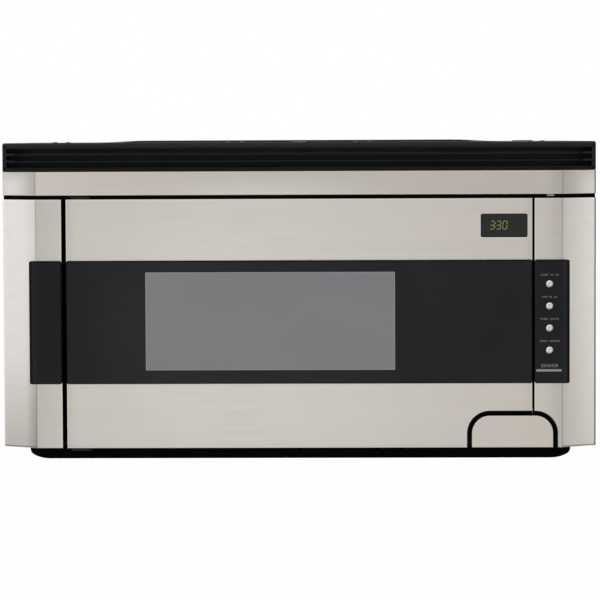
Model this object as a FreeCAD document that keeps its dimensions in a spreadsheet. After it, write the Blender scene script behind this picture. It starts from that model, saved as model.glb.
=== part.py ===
import FreeCAD, Part

import math
import os
from types import SimpleNamespace

import Sketcher

# Over-the-range microwave oven with a built-in range hood.
#
# Millimetres. +Z is up, the front faces -Y and the wall is at +Y. The origin is the centre of
# the underside: Z = 0 is the bottom of the pan, X = 0 the middle of the case, and Y = 0 is half
# way between the faces of the push buttons and the wall.
#
# Every size is a cell of the sheet. Planes and edges that pieces share are worked out from the
# cells once, under a name, and each object is bound to the expression that gives them.

SIZES = {
    # case
    "case_width": 759.0,
    "case_depth": 390.0,
    "case_gauge": 1.0,
    "crown_rise": 2.5,
    "crown_margin": 120.0,
    "crown_ramp": 50.0,
    "crown_setback": 26.0,
    "crown_depth": 225.0,
    "mount_gauge": 1.5,
    "mount_margin": 14.0,
    "stud_spacing": 406.4,
    "stud_row_spacing": 300.0,
    "stud_row_low": 77.0,
    "wall_screw_radius": 3.6,
    "hook_width": 40.0,
    "hook_height": 11.0,
    "hook_reach": 7.5,
    "hook_low": 43.0,
    "hook_offset": 170.0,
    "hook_clearance": 1.5,
    "top_bolt_spacing": 368.0,
    "top_bolt_setback": 60.0,
    "top_bolt_radius": 2.6,
    "weld_nut_radius": 8.0,
    "weld_nut_height": 8.0,
    "exhaust_width": 254.0,
    "exhaust_depth": 82.5,
    "exhaust_setback": 9.0,
    "cord_hole_radius": 12.0,
    "cord_hole_inset": 62.0,
    "cord_hole_setback": 62.0,
    "cord_bush_bore": 5.0,
    "cord_bush_rim": 3.5,
    "cord_bush_lip": 1.0,
    "cord_bush_reach": 6.0,
    # front, measured back from the faces of the buttons
    "button_proud": 1.5,
    "glass_proud": 3.5,
    "trim_gauge": 1.0,
    "wing_width": 44.5,
    "wing_drop": 17.0,
    "wing_return": 8.0,
    # heights, from the bottom of the pan upwards
    "pan_drop": 20.0,
    "door_height": 317.6,
    "band_gap": 4.8,
    "top_band_height": 30.9,
    "grille_height": 36.2,
    # vent grille
    "grille_bottom_rail": 5.1,
    "grille_top_rail": 7.6,
    "grille_corner": 3.5,
    "grille_end": 4.5,
    "grille_blade": 2.9,
    "grille_blade_depth": 11.0,
    "grille_blade_setback": 3.0,
    # door
    "left_trim_width": 77.3,
    "right_trim_width": 80.1,
    "door_depth": 35.5,
    "hinge_gap": 5.8,
    "edge_gap": 3.0,
    "seal_gap": 2.0,
    "skin_gauge": 1.0,
    "skin_return": 31.0,
    "glass_bottom": 102.2,
    "glass_height": 157.3,
    "glass_side": 36.0,
    "glass_corner": 2.5,
    "window_left_border": 101.3,
    "window_right_border": 174.4,
    "window_bottom": 119.9,
    "window_height": 124.8,
    "display_inset": 5.8,
    "display_width": 59.8,
    "display_bottom": 287.8,
    "display_height": 30.4,
    "display_corner": 2.5,
    "lens_depth": 3.0,
    "lens_fit": 0.1,
    "choke_left_inset": 16.4,
    "choke_right_inset": 84.4,
    "choke_bottom": 37.0,
    "choke_top": 333.0,
    "choke_depth": 16.0,
    "choke_channel": 20.0,
    "choke_wall": 1.0,
    "choke_cover_gauge": 1.5,
    "screen_gauge": 0.6,
    "screen_border": 9.0,
    "screen_hole_radius": 3.0,
    "screen_hole_pitch_x": 15.0,
    "screen_hole_pitch_z": 13.9,
    "back_cover_gauge": 1.5,
    "back_cover_setback": 9.0,
    "pin_inset": 14.0,
    "pin_setback": 12.0,
    "pin_radius": 4.0,
    "pin_length": 12.0,
    "pin_fit": 0.06,
    "bush_radius": 7.0,
    "hinge_plate": 2.8,
    "hinge_plate_half": 6.0,
    "hinge_plate_side": 9.0,
    "hinge_plate_reach": 16.0,
    "hinge_clearance": 1.0,
    # handle at the foot of the door
    "arch_inset": 82.9,
    "arch_width": 115.8,
    "arch_height": 46.8,
    "arch_corner": 29.0,
    "arch_gap": 6.3,
    "recess_wall": 1.5,
    "recess_depth": 27.0,
    "lever_gauge": 2.0,
    "lever_inset": 2.5,
    "lever_pivot_depth": 7.0,
    "lever_pivot_height": 37.0,
    "lever_rod_radius": 2.0,
    "lever_rod_fit": 0.06,
    "lever_ear": 3.2,
    "lever_ear_width": 3.5,
    "lever_arm": 13.0,
    "lever_arm_width": 5.0,
    "lever_arm_height": 5.0,
    "lever_play": 0.5,
    # latch
    "latch_inset": 75.4,
    "latch_width": 6.0,
    "latch_gauge": 4.0,
    "latch_top": 297.0,
    "hook_gauge": 3.0,
    "hook_depth": 10.0,
    "latch_travel": 4.6,
    "lower_hook_height": 99.0,
    "upper_hook_height": 269.0,
    "barb_height": 4.0,
    "barb_length": 5.0,
    "hook_tip": 40.0,
    "latch_slot_play": 0.5,
    "latch_swing_play": 3.5,
    "latch_body_wall": 4.0,
    "latch_body_depth": 30.0,
    "switch_width": 6.4,
    "switch_depth": 20.0,
    "switch_height": 10.0,
    # push buttons on the right trim
    "button_inset": 18.7,
    "button_top": 228.6,
    "button_pitch": 28.1,
    "button_radius": 4.5,
    "button_fit": 0.35,
    "button_cap": 6.0,
    "button_flange": 1.5,
    "button_flange_gauge": 1.0,
    "button_stem_radius": 2.0,
    "button_stem": 7.0,
    "button_travel": 1.5,
    "button_rest_gap": 0.3,
    "tact_side": 6.0,
    "tact_height": 3.5,
    "board_gauge": 1.6,
    "board_half_width": 12.0,
    "board_margin": 9.0,
    "standoff_radius": 3.0,
    # chassis
    "plate_gauge": 1.0,
    "floor_gauge": 1.0,
    "duct_left": 8.0,
    "duct_width": 85.0,
    "duct_setback": 90.0,
    "duct_depth": 180.0,
    "filter_slot_half": 170.0,
    "filter_slot_rail": 3.5,
    "charcoal_gauge": 12.0,
    "charcoal_fit": 0.5,
    # bottom pan
    "pan_side": 29.5,
    "pan_setback": 40.0,
    "pan_back_gap": 6.0,
    "pan_gauge": 1.0,
    "pan_corner_run": 25.0,
    "pan_corner_side": 9.0,
    "pan_corner_rise": 13.0,
    "grease_width": 250.0,
    "grease_depth": 130.0,
    "grease_inner": 40.0,
    "grease_setback": 130.0,
    "grease_gauge": 6.0,
    "grease_frame": 8.0,
    "grease_mesh": 2.0,
    "grease_fit": 0.6,
    "grease_foot": 0.3,
    "lamp_cover_width": 200.0,
    "lamp_cover_depth": 60.0,
    "lamp_cover_setback": 30.0,
    "lamp_cover_gauge": 3.0,
    "lamp_cover_fit": 0.6,
    "lamp_cover_hinge_gap": 3.0,
    "bulb_radius": 4.5,
    "bulb_length": 42.0,
    "bulb_base_radius": 3.5,
    "bulb_base": 14.0,
    "bulb_spacing": 100.0,
    # oven cavity
    "cavity_left_inset": 40.4,
    "cavity_right_inset": 112.4,
    "cavity_floor": 63.0,
    "cavity_height": 242.0,
    "cavity_back_gap": 9.0,
    "cavity_gauge": 1.0,
    "cavity_rim": 8.0,
    "shaft_hole_radius": 9.0,
    "guide_length": 110.0,
    "guide_bottom": 157.0,
    "guide_height": 80.0,
    "guide_width": 30.0,
    "guide_port_margin": 14.0,
    "mica_gauge": 0.8,
    "mica_overlap": 10.0,
    "mica_fit": 0.2,
    "magnetron_length": 80.0,
    "magnetron_height": 90.0,
    "magnetron_width": 72.0,
    "magnetron_fin_gauge": 1.2,
    "magnetron_fin_count": 6,
    "magnetron_core_radius": 20.0,
    "magnetron_yoke": 2.0,
    "magnetron_fan_gap": 31.0,
    # turntable
    "motor_radius": 26.0,
    "motor_height": 18.0,
    "motor_lug": 9.0,
    "shaft_radius": 3.0,
    "coupling_radius": 8.0,
    "coupling_height": 12.0,
    "coupling_fit": 0.3,
    "hub_radius": 15.0,
    "hub_height": 11.0,
    "floor_clearance": 0.3,
    "roller_track": 110.0,
    "roller_radius": 7.0,
    "roller_width": 6.0,
    "roller_fit": 0.06,
    "axle_radius": 2.5,
    "axle_length": 14.0,
    "axle_root": 104.0,
    "arm_width": 9.0,
    "arm_height": 5.0,
    "tray_radius": 158.0,
    "tray_gauge": 5.0,
    "tray_rim": 14.0,
    "tray_rim_width": 9.0,
    "tray_lift": 1.0,
    # hood blower above the oven
    "blower_setback": 46.0,
    "scroll_radius": 44.0,
    "scroll_wall": 1.2,
    "scroll_inner": 42.0,
    "scroll_inlet": 26.0,
    "wheel_radius": 37.0,
    "wheel_length": 62.0,
    "wheel_plate": 2.0,
    "wheel_blade": 1.2,
    "wheel_blade_height": 9.0,
    "wheel_blade_count": 24,
    "blower_shaft_radius": 4.0,
    "blower_shaft_fit": 0.06,
    "blower_motor_radius": 31.0,
    "blower_motor_length": 66.0,
    "blower_base_gauge": 1.5,
    # electrical compartment on the right
    "fan_inset": 102.5,
    "fan_z": 233.0,
    "fan_setback": 62.0,
    "fan_opening": 44.0,
    "fan_tip_gap": 2.5,
    "fan_frame": 4.0,
    "fan_frame_half": 52.0,
    "fan_hub_radius": 11.0,
    "fan_depth": 12.0,
    "fan_blade_count": 6,
    "fan_blade": 1.4,
    "fan_shaft_radius": 2.5,
    "fan_shaft_fit": 0.06,
    "fan_motor_radius": 22.0,
    "fan_motor_length": 22.0,
    "fan_strut": 6.0,
    "supply_inset": 94.5,
    "supply_setback": 130.0,
    "core_width": 84.0,
    "core_depth": 66.0,
    "core_height": 78.0,
    "coil_bulge": 11.0,
    "coil_height": 44.0,
    "capacitor_radius": 17.0,
    "capacitor_length": 82.0,
    "capacitor_gap": 8.0,
    "control_board_inset": 19.5,
    "control_board_width": 118.0,
    "control_board_bottom": 57.0,
    "control_board_height": 150.0,
    "control_board_standoff": 14.0,
    # key panel behind the door
    "key_left_inset": 66.4,
    "key_right_inset": 3.9,
    "key_bottom": 29.0,
    "key_top": 332.0,
    "key_depth": 9.0,
    "key_wall": 2.0,
    "overlay_gauge": 0.6,
    "overlay_margin": 4.0,
    "key_pad_width": 14.0,
    "key_pad_height": 9.0,
    "key_pad_pitch_x": 18.0,
    "key_pad_pitch_z": 15.0,
    "key_pad_columns": 3,
    "key_pad_rows": 9,
    "key_pad_rise": 0.5,
    "key_pad_bottom": 70.0,
    "module_inset": 3.0,
    "module_depth": 14.0,
    # fasteners and clips
    "clip_width": 20.0,
    "clip_depth": 7.0,
    "clip_gauge": 1.0,
    "clip_pitch": 231.0,
    "clip_overlap": 3.0,
    "gap_clip_inset": 20.3,
    "gap_clip_width": 9.0,
    "gap_clip_gauge": 2.2,
    "screw_head_radius": 3.0,
    "screw_head_height": 1.2,
    "screw_spacing": 16.5,
    "screw_pair_inset": 76.5,
    "screw_pair_offset": 81.0,
}


class Size:
    """A number together with the sheet expression that gives it."""

    def __init__(self, value, formula):
        self.value = float(value)
        self.formula = formula

    def __add__(self, other):
        return Size(self.value + number(other), "(%s + %s)" % (self.formula, formula(other)))

    def __radd__(self, other):
        return Size(number(other) + self.value, "(%s + %s)" % (formula(other), self.formula))

    def __sub__(self, other):
        return Size(self.value - number(other), "(%s - %s)" % (self.formula, formula(other)))

    def __rsub__(self, other):
        return Size(number(other) - self.value, "(%s - %s)" % (formula(other), self.formula))

    def __mul__(self, other):
        return Size(self.value * number(other), "(%s * %s)" % (self.formula, formula(other)))

    def __rmul__(self, other):
        return Size(number(other) * self.value, "(%s * %s)" % (formula(other), self.formula))

    def __truediv__(self, other):
        return Size(self.value / number(other), "(%s / %s)" % (self.formula, formula(other)))

    def __neg__(self):
        return Size(-self.value, "(0 - %s)" % self.formula)


def number(size):
    """The value of a size or of a plain number."""
    return size.value if isinstance(size, Size) else float(size)


def formula(size):
    """The sheet expression of a size, or a plain number written as one."""
    return size.formula if isinstance(size, Size) else "(%r)" % float(size)


doc = FreeCAD.newDocument("microwave_hood")
sheet = doc.addObject("Spreadsheet::Sheet", "dims")
for row, (size_name, size_value) in enumerate(SIZES.items(), start=1):
    sheet.set("A%d" % row, size_name)
    sheet.set("B%d" % row, str(size_value))
    sheet.setAlias("B%d" % row, size_name)
doc.recompute()
d = SimpleNamespace(**{name: Size(value, "dims." + name) for name, value in SIZES.items()})

V = FreeCAD.Vector
UP = V(0, 0, 1)
AXIS_TURN = {
    "X": FreeCAD.Rotation(V(0, 1, 0), 90),
    "Y": FreeCAD.Rotation(V(1, 0, 0), -90),
    "Z": FreeCAD.Rotation(),
}
PLANES = {"XY": ("XY_Plane", 1), "XZ": ("XZ_Plane", -1), "YZ": ("YZ_Plane", 1)}
PAST = 1.0  # how far a cutting tool runs past the face it opens

pieces = []


# ---------------------------------------------------------------- drawing helpers


def bind(thing, place, size):
    """Tie one property of an object to a size."""
    thing.setExpression(place, formula(size))


def box(name, x_span, y_span, z_span):
    """A block between two planes on each axis."""
    block = doc.addObject("Part::Box", name)
    for side, letter, span in (("Length", "x", x_span), ("Width", "y", y_span), ("Height", "z", z_span)):
        bind(block, side, span[1] - span[0])
        bind(block, "Placement.Base." + letter, span[0])
    return block


def rod(name, axis, radius, span, across):
    """A round bar along an axis; across gives its other two coordinates in X, Y, Z order."""
    bar = doc.addObject("Part::Cylinder", name)
    bar.Placement = FreeCAD.Placement(V(0, 0, 0), AXIS_TURN[axis])
    bind(bar, "Radius", radius)
    bind(bar, "Height", span[1] - span[0])
    rest = iter(across)
    for letter in "xyz":
        bind(bar, "Placement.Base." + letter, span[0] if letter == axis.lower() else next(rest))
    return bar


def union(name, *parts):
    """Several solids that touch or overlap, joined into one."""
    joined = doc.addObject("Part::MultiFuse", name)
    joined.Shapes = list(parts)
    joined.Refine = True
    return joined


def cut(name, base, *tools):
    """A solid with one or more tools taken out of it."""
    result = doc.addObject("Part::Cut", name)
    result.Base = base
    result.Tool = tools[0] if len(tools) == 1 else union(name + "_tools", *tools)
    result.Refine = True
    return result


def group(name, *parts):
    """Separate solids that share one node."""
    bundle = doc.addObject("Part::Compound", name)
    bundle.Links = list(parts)
    return bundle


def keep(piece, label):
    """Name a finished sub-part after the node that it becomes."""
    piece.Label = label
    pieces.append(piece)
    return piece


def rectangle(left, right, low, high):
    """A closed outline with four square corners."""
    return [(left, low), (right, low), (right, high), (left, high)]


def rounded(left, right, low, high, radius):
    """A rectangle with one radius at its four corners."""
    return [
        (left, low + radius, None),
        (left + radius, low, radius),
        (right - radius, low, None),
        (right, low + radius, radius),
        (right, high - radius, None),
        (right - radius, high, radius),
        (left + radius, high, None),
        (left, high - radius, radius),
    ]


def add_loop(sketch, loop):
    """Draw one closed loop: a circle (u, v, radius), or corners reached by a line or an arc.

    A corner is (u, v) or (u, v, radius). With a radius, the edge that arrives there is an arc
    that turns left.
    """
    if isinstance(loop, tuple):
        u, v, radius = loop
        ring = sketch.addGeometry(Part.Circle(V(number(u), number(v), 0), UP, number(radius)), False)
        pin_point(sketch, ring, 3, u, v)
        held = sketch.addConstraint(Sketcher.Constraint("Radius", ring, number(radius)))
        sketch.setExpression("Constraints[%d]" % held, formula(radius))
        return
    edges = []
    for index, corner in enumerate(loop):
        before = loop[index - 1]
        start = V(number(before[0]), number(before[1]), 0)
        end = V(number(corner[0]), number(corner[1]), 0)
        radius = corner[2] if len(corner) == 3 else None
        if radius is None:
            edge = sketch.addGeometry(Part.LineSegment(start, end), False)
        else:
            chord = end - start
            middle = (start + end) * 0.5
            rise = math.sqrt(max(number(radius) ** 2 - (chord.Length / 2) ** 2, 0.0))
            centre = middle + V(-chord.y, chord.x, 0).normalize() * rise
            first = math.atan2(start.y - centre.y, start.x - centre.x)
            last = math.atan2(end.y - centre.y, end.x - centre.x)
            circle = Part.Circle(centre, UP, number(radius))
            edge = sketch.addGeometry(Part.ArcOfCircle(circle, first, last), False)
        edges.append((edge, corner, radius))
    for index, (edge, corner, radius) in enumerate(edges):
        following = edges[(index + 1) % len(edges)][0]
        sketch.addConstraint(Sketcher.Constraint("Coincident", edge, 2, following, 1))
        pin_point(sketch, edge, 2, corner[0], corner[1])
        if radius is not None:
            held = sketch.addConstraint(Sketcher.Constraint("Radius", edge, number(radius)))
            sketch.setExpression("Constraints[%d]" % held, formula(radius))


def pin_point(sketch, edge, end, u, v):
    """Hold one point of a sketch at its two coordinates."""
    for kind, size in (("DistanceX", u), ("DistanceY", v)):
        held = sketch.addConstraint(Sketcher.Constraint(kind, -1, 1, edge, end, number(size)))
        sketch.setExpression("Constraints[%d]" % held, formula(size))


def draw(body, name, plane, level, loops):
    """A sketch on one of a body's own planes, moved out to a level along the plane's axis."""
    role, sign = PLANES[plane]
    sketch = body.newObject("Sketcher::SketchObject", name)
    sketch.AttachmentSupport = [([f for f in body.Origin.OriginFeatures if f.Role == role][0], "")]
    sketch.MapMode = "FlatFace"
    bind(sketch, "AttachmentOffset.Base.z", level if sign > 0 else -level)
    for loop in loops:
        add_loop(sketch, loop)
    return sketch


def pad(body, name, plane, span, loops):
    """A prism in a body, from one level to another along the axis square to its plane."""
    low, high = span
    start = low if PLANES[plane][1] > 0 else high
    feature = body.newObject("PartDesign::Pad", name)
    feature.Profile = draw(body, name + "_sketch", plane, start, loops)
    bind(feature, "Length", high - low)
    return feature


def slab(name, plane, span, *loops):
    """A body made of one prism."""
    body = doc.addObject("PartDesign::Body", name)
    pad(body, name + "_pad", plane, span, loops)
    return body


def turned(name, axis, centre, *loops):
    """A body turned about an axis; loops are drawn as (radius, distance along the axis)."""
    body = doc.addObject("PartDesign::Body", name)
    feature = body.newObject("PartDesign::Revolution", name + "_turn")
    feature.Profile = draw(body, name + "_sketch", "XZ", 0 * d.case_gauge, loops)
    feature.ReferenceAxis = (feature.Profile[0], ["V_Axis"])
    feature.Angle = 360
    stand(body, axis, centre)
    return body


def stand(body, axis, centre):
    """Turn a body's own Z axis to an axis, and put its origin at a point."""
    body.Placement = FreeCAD.Placement(V(0, 0, 0), AXIS_TURN[axis])
    for letter, place in zip("xyz", centre):
        bind(body, "Placement.Base." + letter, place)


def repeat_round(body, name, features, role, count):
    """Copy features of a body evenly round one of its own axes."""
    pattern = body.newObject("PartDesign::PolarPattern", name)
    pattern.Originals = features
    pattern.Axis = ([f for f in body.Origin.OriginFeatures if f.Role == role][0], [""])
    pattern.Angle = 360
    bind(pattern, "Occurrences", count)
    body.Tip = pattern
    return pattern


# ---------------------------------------------------------------- shared planes and edges

half = d.case_width / 2
wall = d.case_depth / 2
glass_front = d.button_proud - wall
face = glass_front + d.glass_proud
skin_back = face + d.trim_gauge
door_bottom = d.pan_drop
door_top = door_bottom + d.door_height
band_low = door_top + d.band_gap
band_high = band_low + d.top_band_height
case_top = band_high + d.grille_height
top_inner = case_top - d.case_gauge
side_inner = half - d.case_gauge
door_back = face + d.door_depth
flange = door_back + d.seal_gap
chassis = flange + d.plate_gauge
case_front = face + d.wing_drop + d.wing_return
mount_front = wall - d.mount_gauge
case_back = mount_front - d.case_gauge
floor_top = door_bottom + d.floor_gauge

crease_half = half - d.wing_width
glass_half = half - d.glass_side
pan_half = half - d.pan_side
left_trim_edge = d.left_trim_width - half
right_trim_edge = half - d.right_trim_width
door_left = left_trim_edge + d.hinge_gap
door_right = right_trim_edge - d.edge_gap

pin_x = door_left + d.pin_inset
pin_y = glass_front + d.pin_setback

arch_left = door_right - d.arch_inset
arch_right = arch_left + d.arch_width
arch_top = door_bottom + d.arch_height
recess_back = face + d.recess_depth

cavity_left = door_left + d.cavity_left_inset
cavity_right = door_right - d.cavity_right_inset
cavity_top = d.cavity_floor + d.cavity_height
cavity_back = case_back - d.cavity_back_gap
cavity_outer_right = cavity_right + d.cavity_gauge
cavity_outer_top = cavity_top + d.cavity_gauge
cavity_outer_floor = d.cavity_floor - d.cavity_gauge
tray_x = (cavity_left + cavity_right) / 2
tray_y = (chassis + cavity_back) / 2

glass_top = d.glass_bottom + d.glass_height
window_left = door_left + d.window_left_border
window_right = door_right - d.window_right_border
window_top = d.window_bottom + d.window_height
display_right = door_right - d.display_inset
display_left = display_right - d.display_width
display_top = d.display_bottom + d.display_height

choke_left = door_left + d.choke_left_inset
choke_right = door_right - d.choke_right_inset
latch_x = door_right - d.latch_inset
slot_left = latch_x - d.hook_gauge / 2 - d.latch_slot_play
slot_right = latch_x + d.hook_gauge / 2 + d.latch_slot_play
latch_play_low = d.latch_travel + d.latch_slot_play
hook_levels = {"lower": d.lower_hook_height, "upper": d.upper_hook_height}


def slot_span(level):
    """Heights that a hook and its barb pass through while the latch drops and the door turns."""
    return (level - latch_play_low, level + d.hook_depth + d.barb_height + d.latch_slot_play)


def plan_outline(back):
    """The front edge of the case seen from above, wings included, closed along a back plane."""
    return [
        (-half, back),
        (-half, face + d.wing_drop),
        (-crease_half, face),
        (crease_half, face),
        (half, face + d.wing_drop),
        (half, back),
    ][::-1]


def arch_outline(left, right, low, high, radius):
    """An outline open to the floor whose two upper corners are round."""
    return [
        (left, low),
        (right, low),
        (right, high - radius),
        (right - radius, high, radius),
        (left + radius, high),
        (left, high - radius, radius),
    ]


# ---------------------------------------------------------------- case, wall plate and chassis


def make_wall_mounting_plate():
    """Steel plate screwed to the wall studs, with two upturned hooks that carry the back panel."""
    low = d.mount_margin + door_bottom
    sheet_part = box(
        "mount_sheet",
        (d.mount_margin - half, half - d.mount_margin),
        (mount_front, wall),
        (low, case_top - d.mount_margin),
    )
    hooks = []
    for side, sign in (("left", -1), ("right", 1)):
        middle = sign * d.hook_offset
        span = (middle - d.hook_width / 2, middle + d.hook_width / 2)
        shelf = (mount_front - d.hook_reach, mount_front)
        hooks.append(box("mount_shelf_" + side, span, shelf, (d.hook_low, d.hook_low + d.mount_gauge)))
        lip = (mount_front - d.hook_reach, mount_front - d.hook_reach + d.mount_gauge)
        hooks.append(box("mount_lip_" + side, span, lip, (d.hook_low, d.hook_low + d.hook_height)))
    plate = union("mount_blank", sheet_part, *hooks)
    holes = []
    for side, sign in (("left", -0.5), ("right", 0.5)):
        for level, height in (("low", 0), ("high", 1)):
            z = d.stud_row_low + height * d.stud_row_spacing
            span = (mount_front - PAST, wall + PAST)
            across = (sign * d.stud_spacing, z)
            holes.append(rod("stud_hole_%s_%s" % (side, level), "Y", d.wall_screw_radius, span, across))
    keep(cut("wall_mounting_plate", plate, *holes), "wall_mounting_plate")


def make_back_plate():
    """Rear panel and chassis floor, bent from one sheet, with slots for the wall plate's hooks."""
    panel = box("back_sheet", (-side_inner, side_inner), (case_back, mount_front), (door_bottom, top_inner))
    floor = box("floor_sheet", (-side_inner, side_inner), (flange, case_back), (door_bottom, floor_top))
    slots = []
    for side, sign in (("left", -1), ("right", 1)):
        middle = sign * d.hook_offset
        reach = d.hook_width / 2 + d.hook_clearance
        span = (middle - reach, middle + reach)
        low = d.hook_low - d.hook_clearance
        high = d.hook_low + d.hook_height + d.hook_clearance
        slots.append(box("hook_slot_" + side, span, (case_back - PAST, mount_front + PAST), (low, high)))
    left = d.duct_left - side_inner
    front = flange + d.duct_setback
    duct = box(
        "floor_duct",
        (left, left + d.duct_width),
        (front, front + d.duct_depth),
        (door_bottom - PAST, floor_top + PAST),
    )
    keep(cut("back_plate", union("back_blank", panel, floor), duct, *slots), "back_plate")


def make_outer_case():
    """Bent wrap of the top and both sides, with a shallow pressed crown and two weld nuts."""
    crown_half = half - d.crown_margin
    crown_front = case_front + d.crown_setback
    crown_back = crown_front + d.crown_depth
    crown_top = case_top + d.crown_rise
    gauge = d.case_gauge
    blank = box("case_blank", (-half, half), (case_front, mount_front), (door_bottom, case_top))
    crown = slab(
        "case_crown",
        "XZ",
        (crown_front, crown_back),
        [
            (-crown_half, case_top - gauge),
            (crown_half, case_top - gauge),
            (crown_half, case_top),
            (crown_half - d.crown_ramp, crown_top),
            (d.crown_ramp - crown_half, crown_top),
            (-crown_half, case_top),
        ],
    )
    inside = box(
        "case_inside",
        (-side_inner, side_inner),
        (case_front - PAST, mount_front + PAST),
        (door_bottom - PAST, top_inner),
    )
    crown_inside = slab(
        "case_crown_inside",
        "XZ",
        (crown_front + gauge, crown_back - gauge),
        [
            (gauge - crown_half, case_top - 2 * gauge),
            (crown_half - gauge, case_top - 2 * gauge),
            (crown_half - gauge, top_inner),
            (crown_half - d.crown_ramp, crown_top - gauge),
            (d.crown_ramp - crown_half, crown_top - gauge),
            (gauge - crown_half, top_inner),
        ],
    )
    shell = cut("case_shell", union("case_outside", blank, crown), inside, crown_inside)
    nuts = []
    bores = []
    for side, sign in (("left", -0.5), ("right", 0.5)):
        across = (sign * d.top_bolt_spacing, -d.top_bolt_setback)
        nut_span = (crown_top - gauge - d.weld_nut_height, crown_top - gauge)
        nuts.append(rod("weld_nut_" + side, "Z", d.weld_nut_radius, nut_span, across))
        bore_span = (nut_span[0] - PAST, crown_top + PAST)
        bores.append(rod("bolt_bore_" + side, "Z", d.top_bolt_radius, bore_span, across))
    exhaust_back = case_back - d.exhaust_setback
    exhaust = box(
        "exhaust_hole",
        (-d.exhaust_width / 2, d.exhaust_width / 2),
        (exhaust_back - d.exhaust_depth, exhaust_back),
        (top_inner - PAST, case_top + PAST),
    )
    cord_at = (half - d.cord_hole_inset, mount_front - d.cord_hole_setback)
    cord = rod("cord_hole", "Z", d.cord_hole_radius, (top_inner - PAST, case_top + PAST), cord_at)
    keep(cut("outer_case", union("case_with_nuts", shell, *nuts), exhaust, cord, *bores), "outer_case")


def make_cord_bush():
    """Moulded bush that lines the supply cord's hole in the top of the case."""
    radius = d.cord_hole_radius
    rim = radius + d.cord_bush_rim
    under = top_inner - d.cord_bush_reach
    over = case_top + d.cord_bush_lip
    profile = [
        (d.cord_bush_bore, under),
        (rim, under),
        (rim, top_inner),
        (radius, top_inner),
        (radius, case_top),
        (rim, case_top),
        (rim - d.cord_bush_lip, over),
        (d.cord_bush_bore, over),
    ]
    centre = (half - d.cord_hole_inset, mount_front - d.cord_hole_setback, 0 * half)
    keep(turned("cord_bush", "Z", centre, profile), "cord_bush")


def make_front_plate():
    """Chassis front: oven mouth, duct mouth, display window and the two latch slots."""
    plate = box("front_sheet", (-side_inner, side_inner), (flange, chassis), (floor_top, top_inner))
    through = (flange - PAST, chassis + PAST)
    mouth = box("oven_mouth", (cavity_left, cavity_right), through, (d.cavity_floor, cavity_top))
    duct = box(
        "duct_mouth",
        (-d.filter_slot_half, d.filter_slot_half),
        through,
        (band_high + d.filter_slot_rail, top_inner - d.filter_slot_rail),
    )
    display = box(
        "display_mouth",
        (display_left + d.module_inset, display_right - d.module_inset),
        through,
        (d.display_bottom + d.module_inset, display_top - d.module_inset),
    )
    slots = []
    for name, level in hook_levels.items():
        span = (slot_left, slot_right + d.latch_swing_play)
        slots.append(box("latch_slot_" + name, span, through, slot_span(level)))
    keep(cut("front_plate", plate, mouth, duct, display, *slots), "front_plate")


# ---------------------------------------------------------------- hood pan and what it carries

pan_front = face + d.pan_setback
pan_back = case_back - d.pan_back_gap
grease_front_y = pan_front + d.grease_setback
grease_back_y = grease_front_y + d.grease_depth
lamp_front_y = pan_front + d.lamp_cover_setback
lamp_back_y = lamp_front_y + d.lamp_cover_depth
bulb_y = (lamp_front_y + lamp_back_y) / 2
bulb_z = d.pan_drop - d.bulb_radius


def pan_outline(edge, low, high):
    """The pan seen from the front: flat underside and softly rounded lower corners."""
    run = d.pan_corner_run
    rise = d.pan_corner_rise
    side = d.pan_corner_side
    bend = ((run - side) * (run - side) + rise * rise - side * side) / (2 * (rise - side))
    share = bend / (bend - side)
    meet = edge - run + (run - side) * share
    level = low + bend - (bend - rise) * share
    return [
        (run - edge, low, bend),
        (edge - run, low),
        (meet, level, bend),
        (edge, low + rise, side),
        (edge, high),
        (-edge, high),
        (-edge, low + rise),
        (-meet, level, side),
    ]


def grease_span(side):
    """Left and right edges of one grease filter's opening."""
    near = side * d.grease_inner
    far = side * (d.grease_inner + d.grease_width)
    return (far, near) if side < 0 else (near, far)


def make_base_pan():
    """Black hood pan: openings for two grease filters and the cooktop lamp, and lamp holders."""
    gauge = d.pan_gauge
    outside = slab("pan_outside", "XZ", (pan_front, pan_back), pan_outline(pan_half, 0 * gauge, door_bottom))
    inside = slab(
        "pan_inside",
        "XZ",
        (pan_front + gauge, pan_back - gauge),
        pan_outline(pan_half - gauge, gauge, door_bottom + PAST),
    )
    through = (-PAST * gauge, d.pan_gauge + PAST)
    openings = [
        box("grease_opening_left", grease_span(-1), (grease_front_y, grease_back_y), through),
        box("grease_opening_right", grease_span(1), (grease_front_y, grease_back_y), through),
        box(
            "lamp_opening",
            (-d.lamp_cover_width / 2, d.lamp_cover_width / 2),
            (lamp_front_y, lamp_back_y),
            through,
        ),
    ]
    holders = []
    for side, sign in (("left", -1), ("right", 1)):
        end = sign * (d.bulb_spacing / 2 + d.bulb_length / 2)
        outer = sign * (d.bulb_spacing / 2 + d.bulb_length / 2 + d.bulb_base_radius)
        span = (outer, end) if sign < 0 else (end, outer)
        depth = (lamp_back_y, lamp_back_y + d.bulb_base)
        reach = (bulb_y - d.bulb_radius, lamp_back_y + d.bulb_base)
        post = box("lamp_post_" + side, span, depth, (gauge, door_bottom))
        arm = box("lamp_arm_" + side, span, reach, (bulb_z - d.bulb_base_radius, door_bottom))
        holders.extend((post, arm))
    keep(union("base_pan", cut("pan_shell", outside, inside, *openings), *holders), "base_pan")


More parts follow.
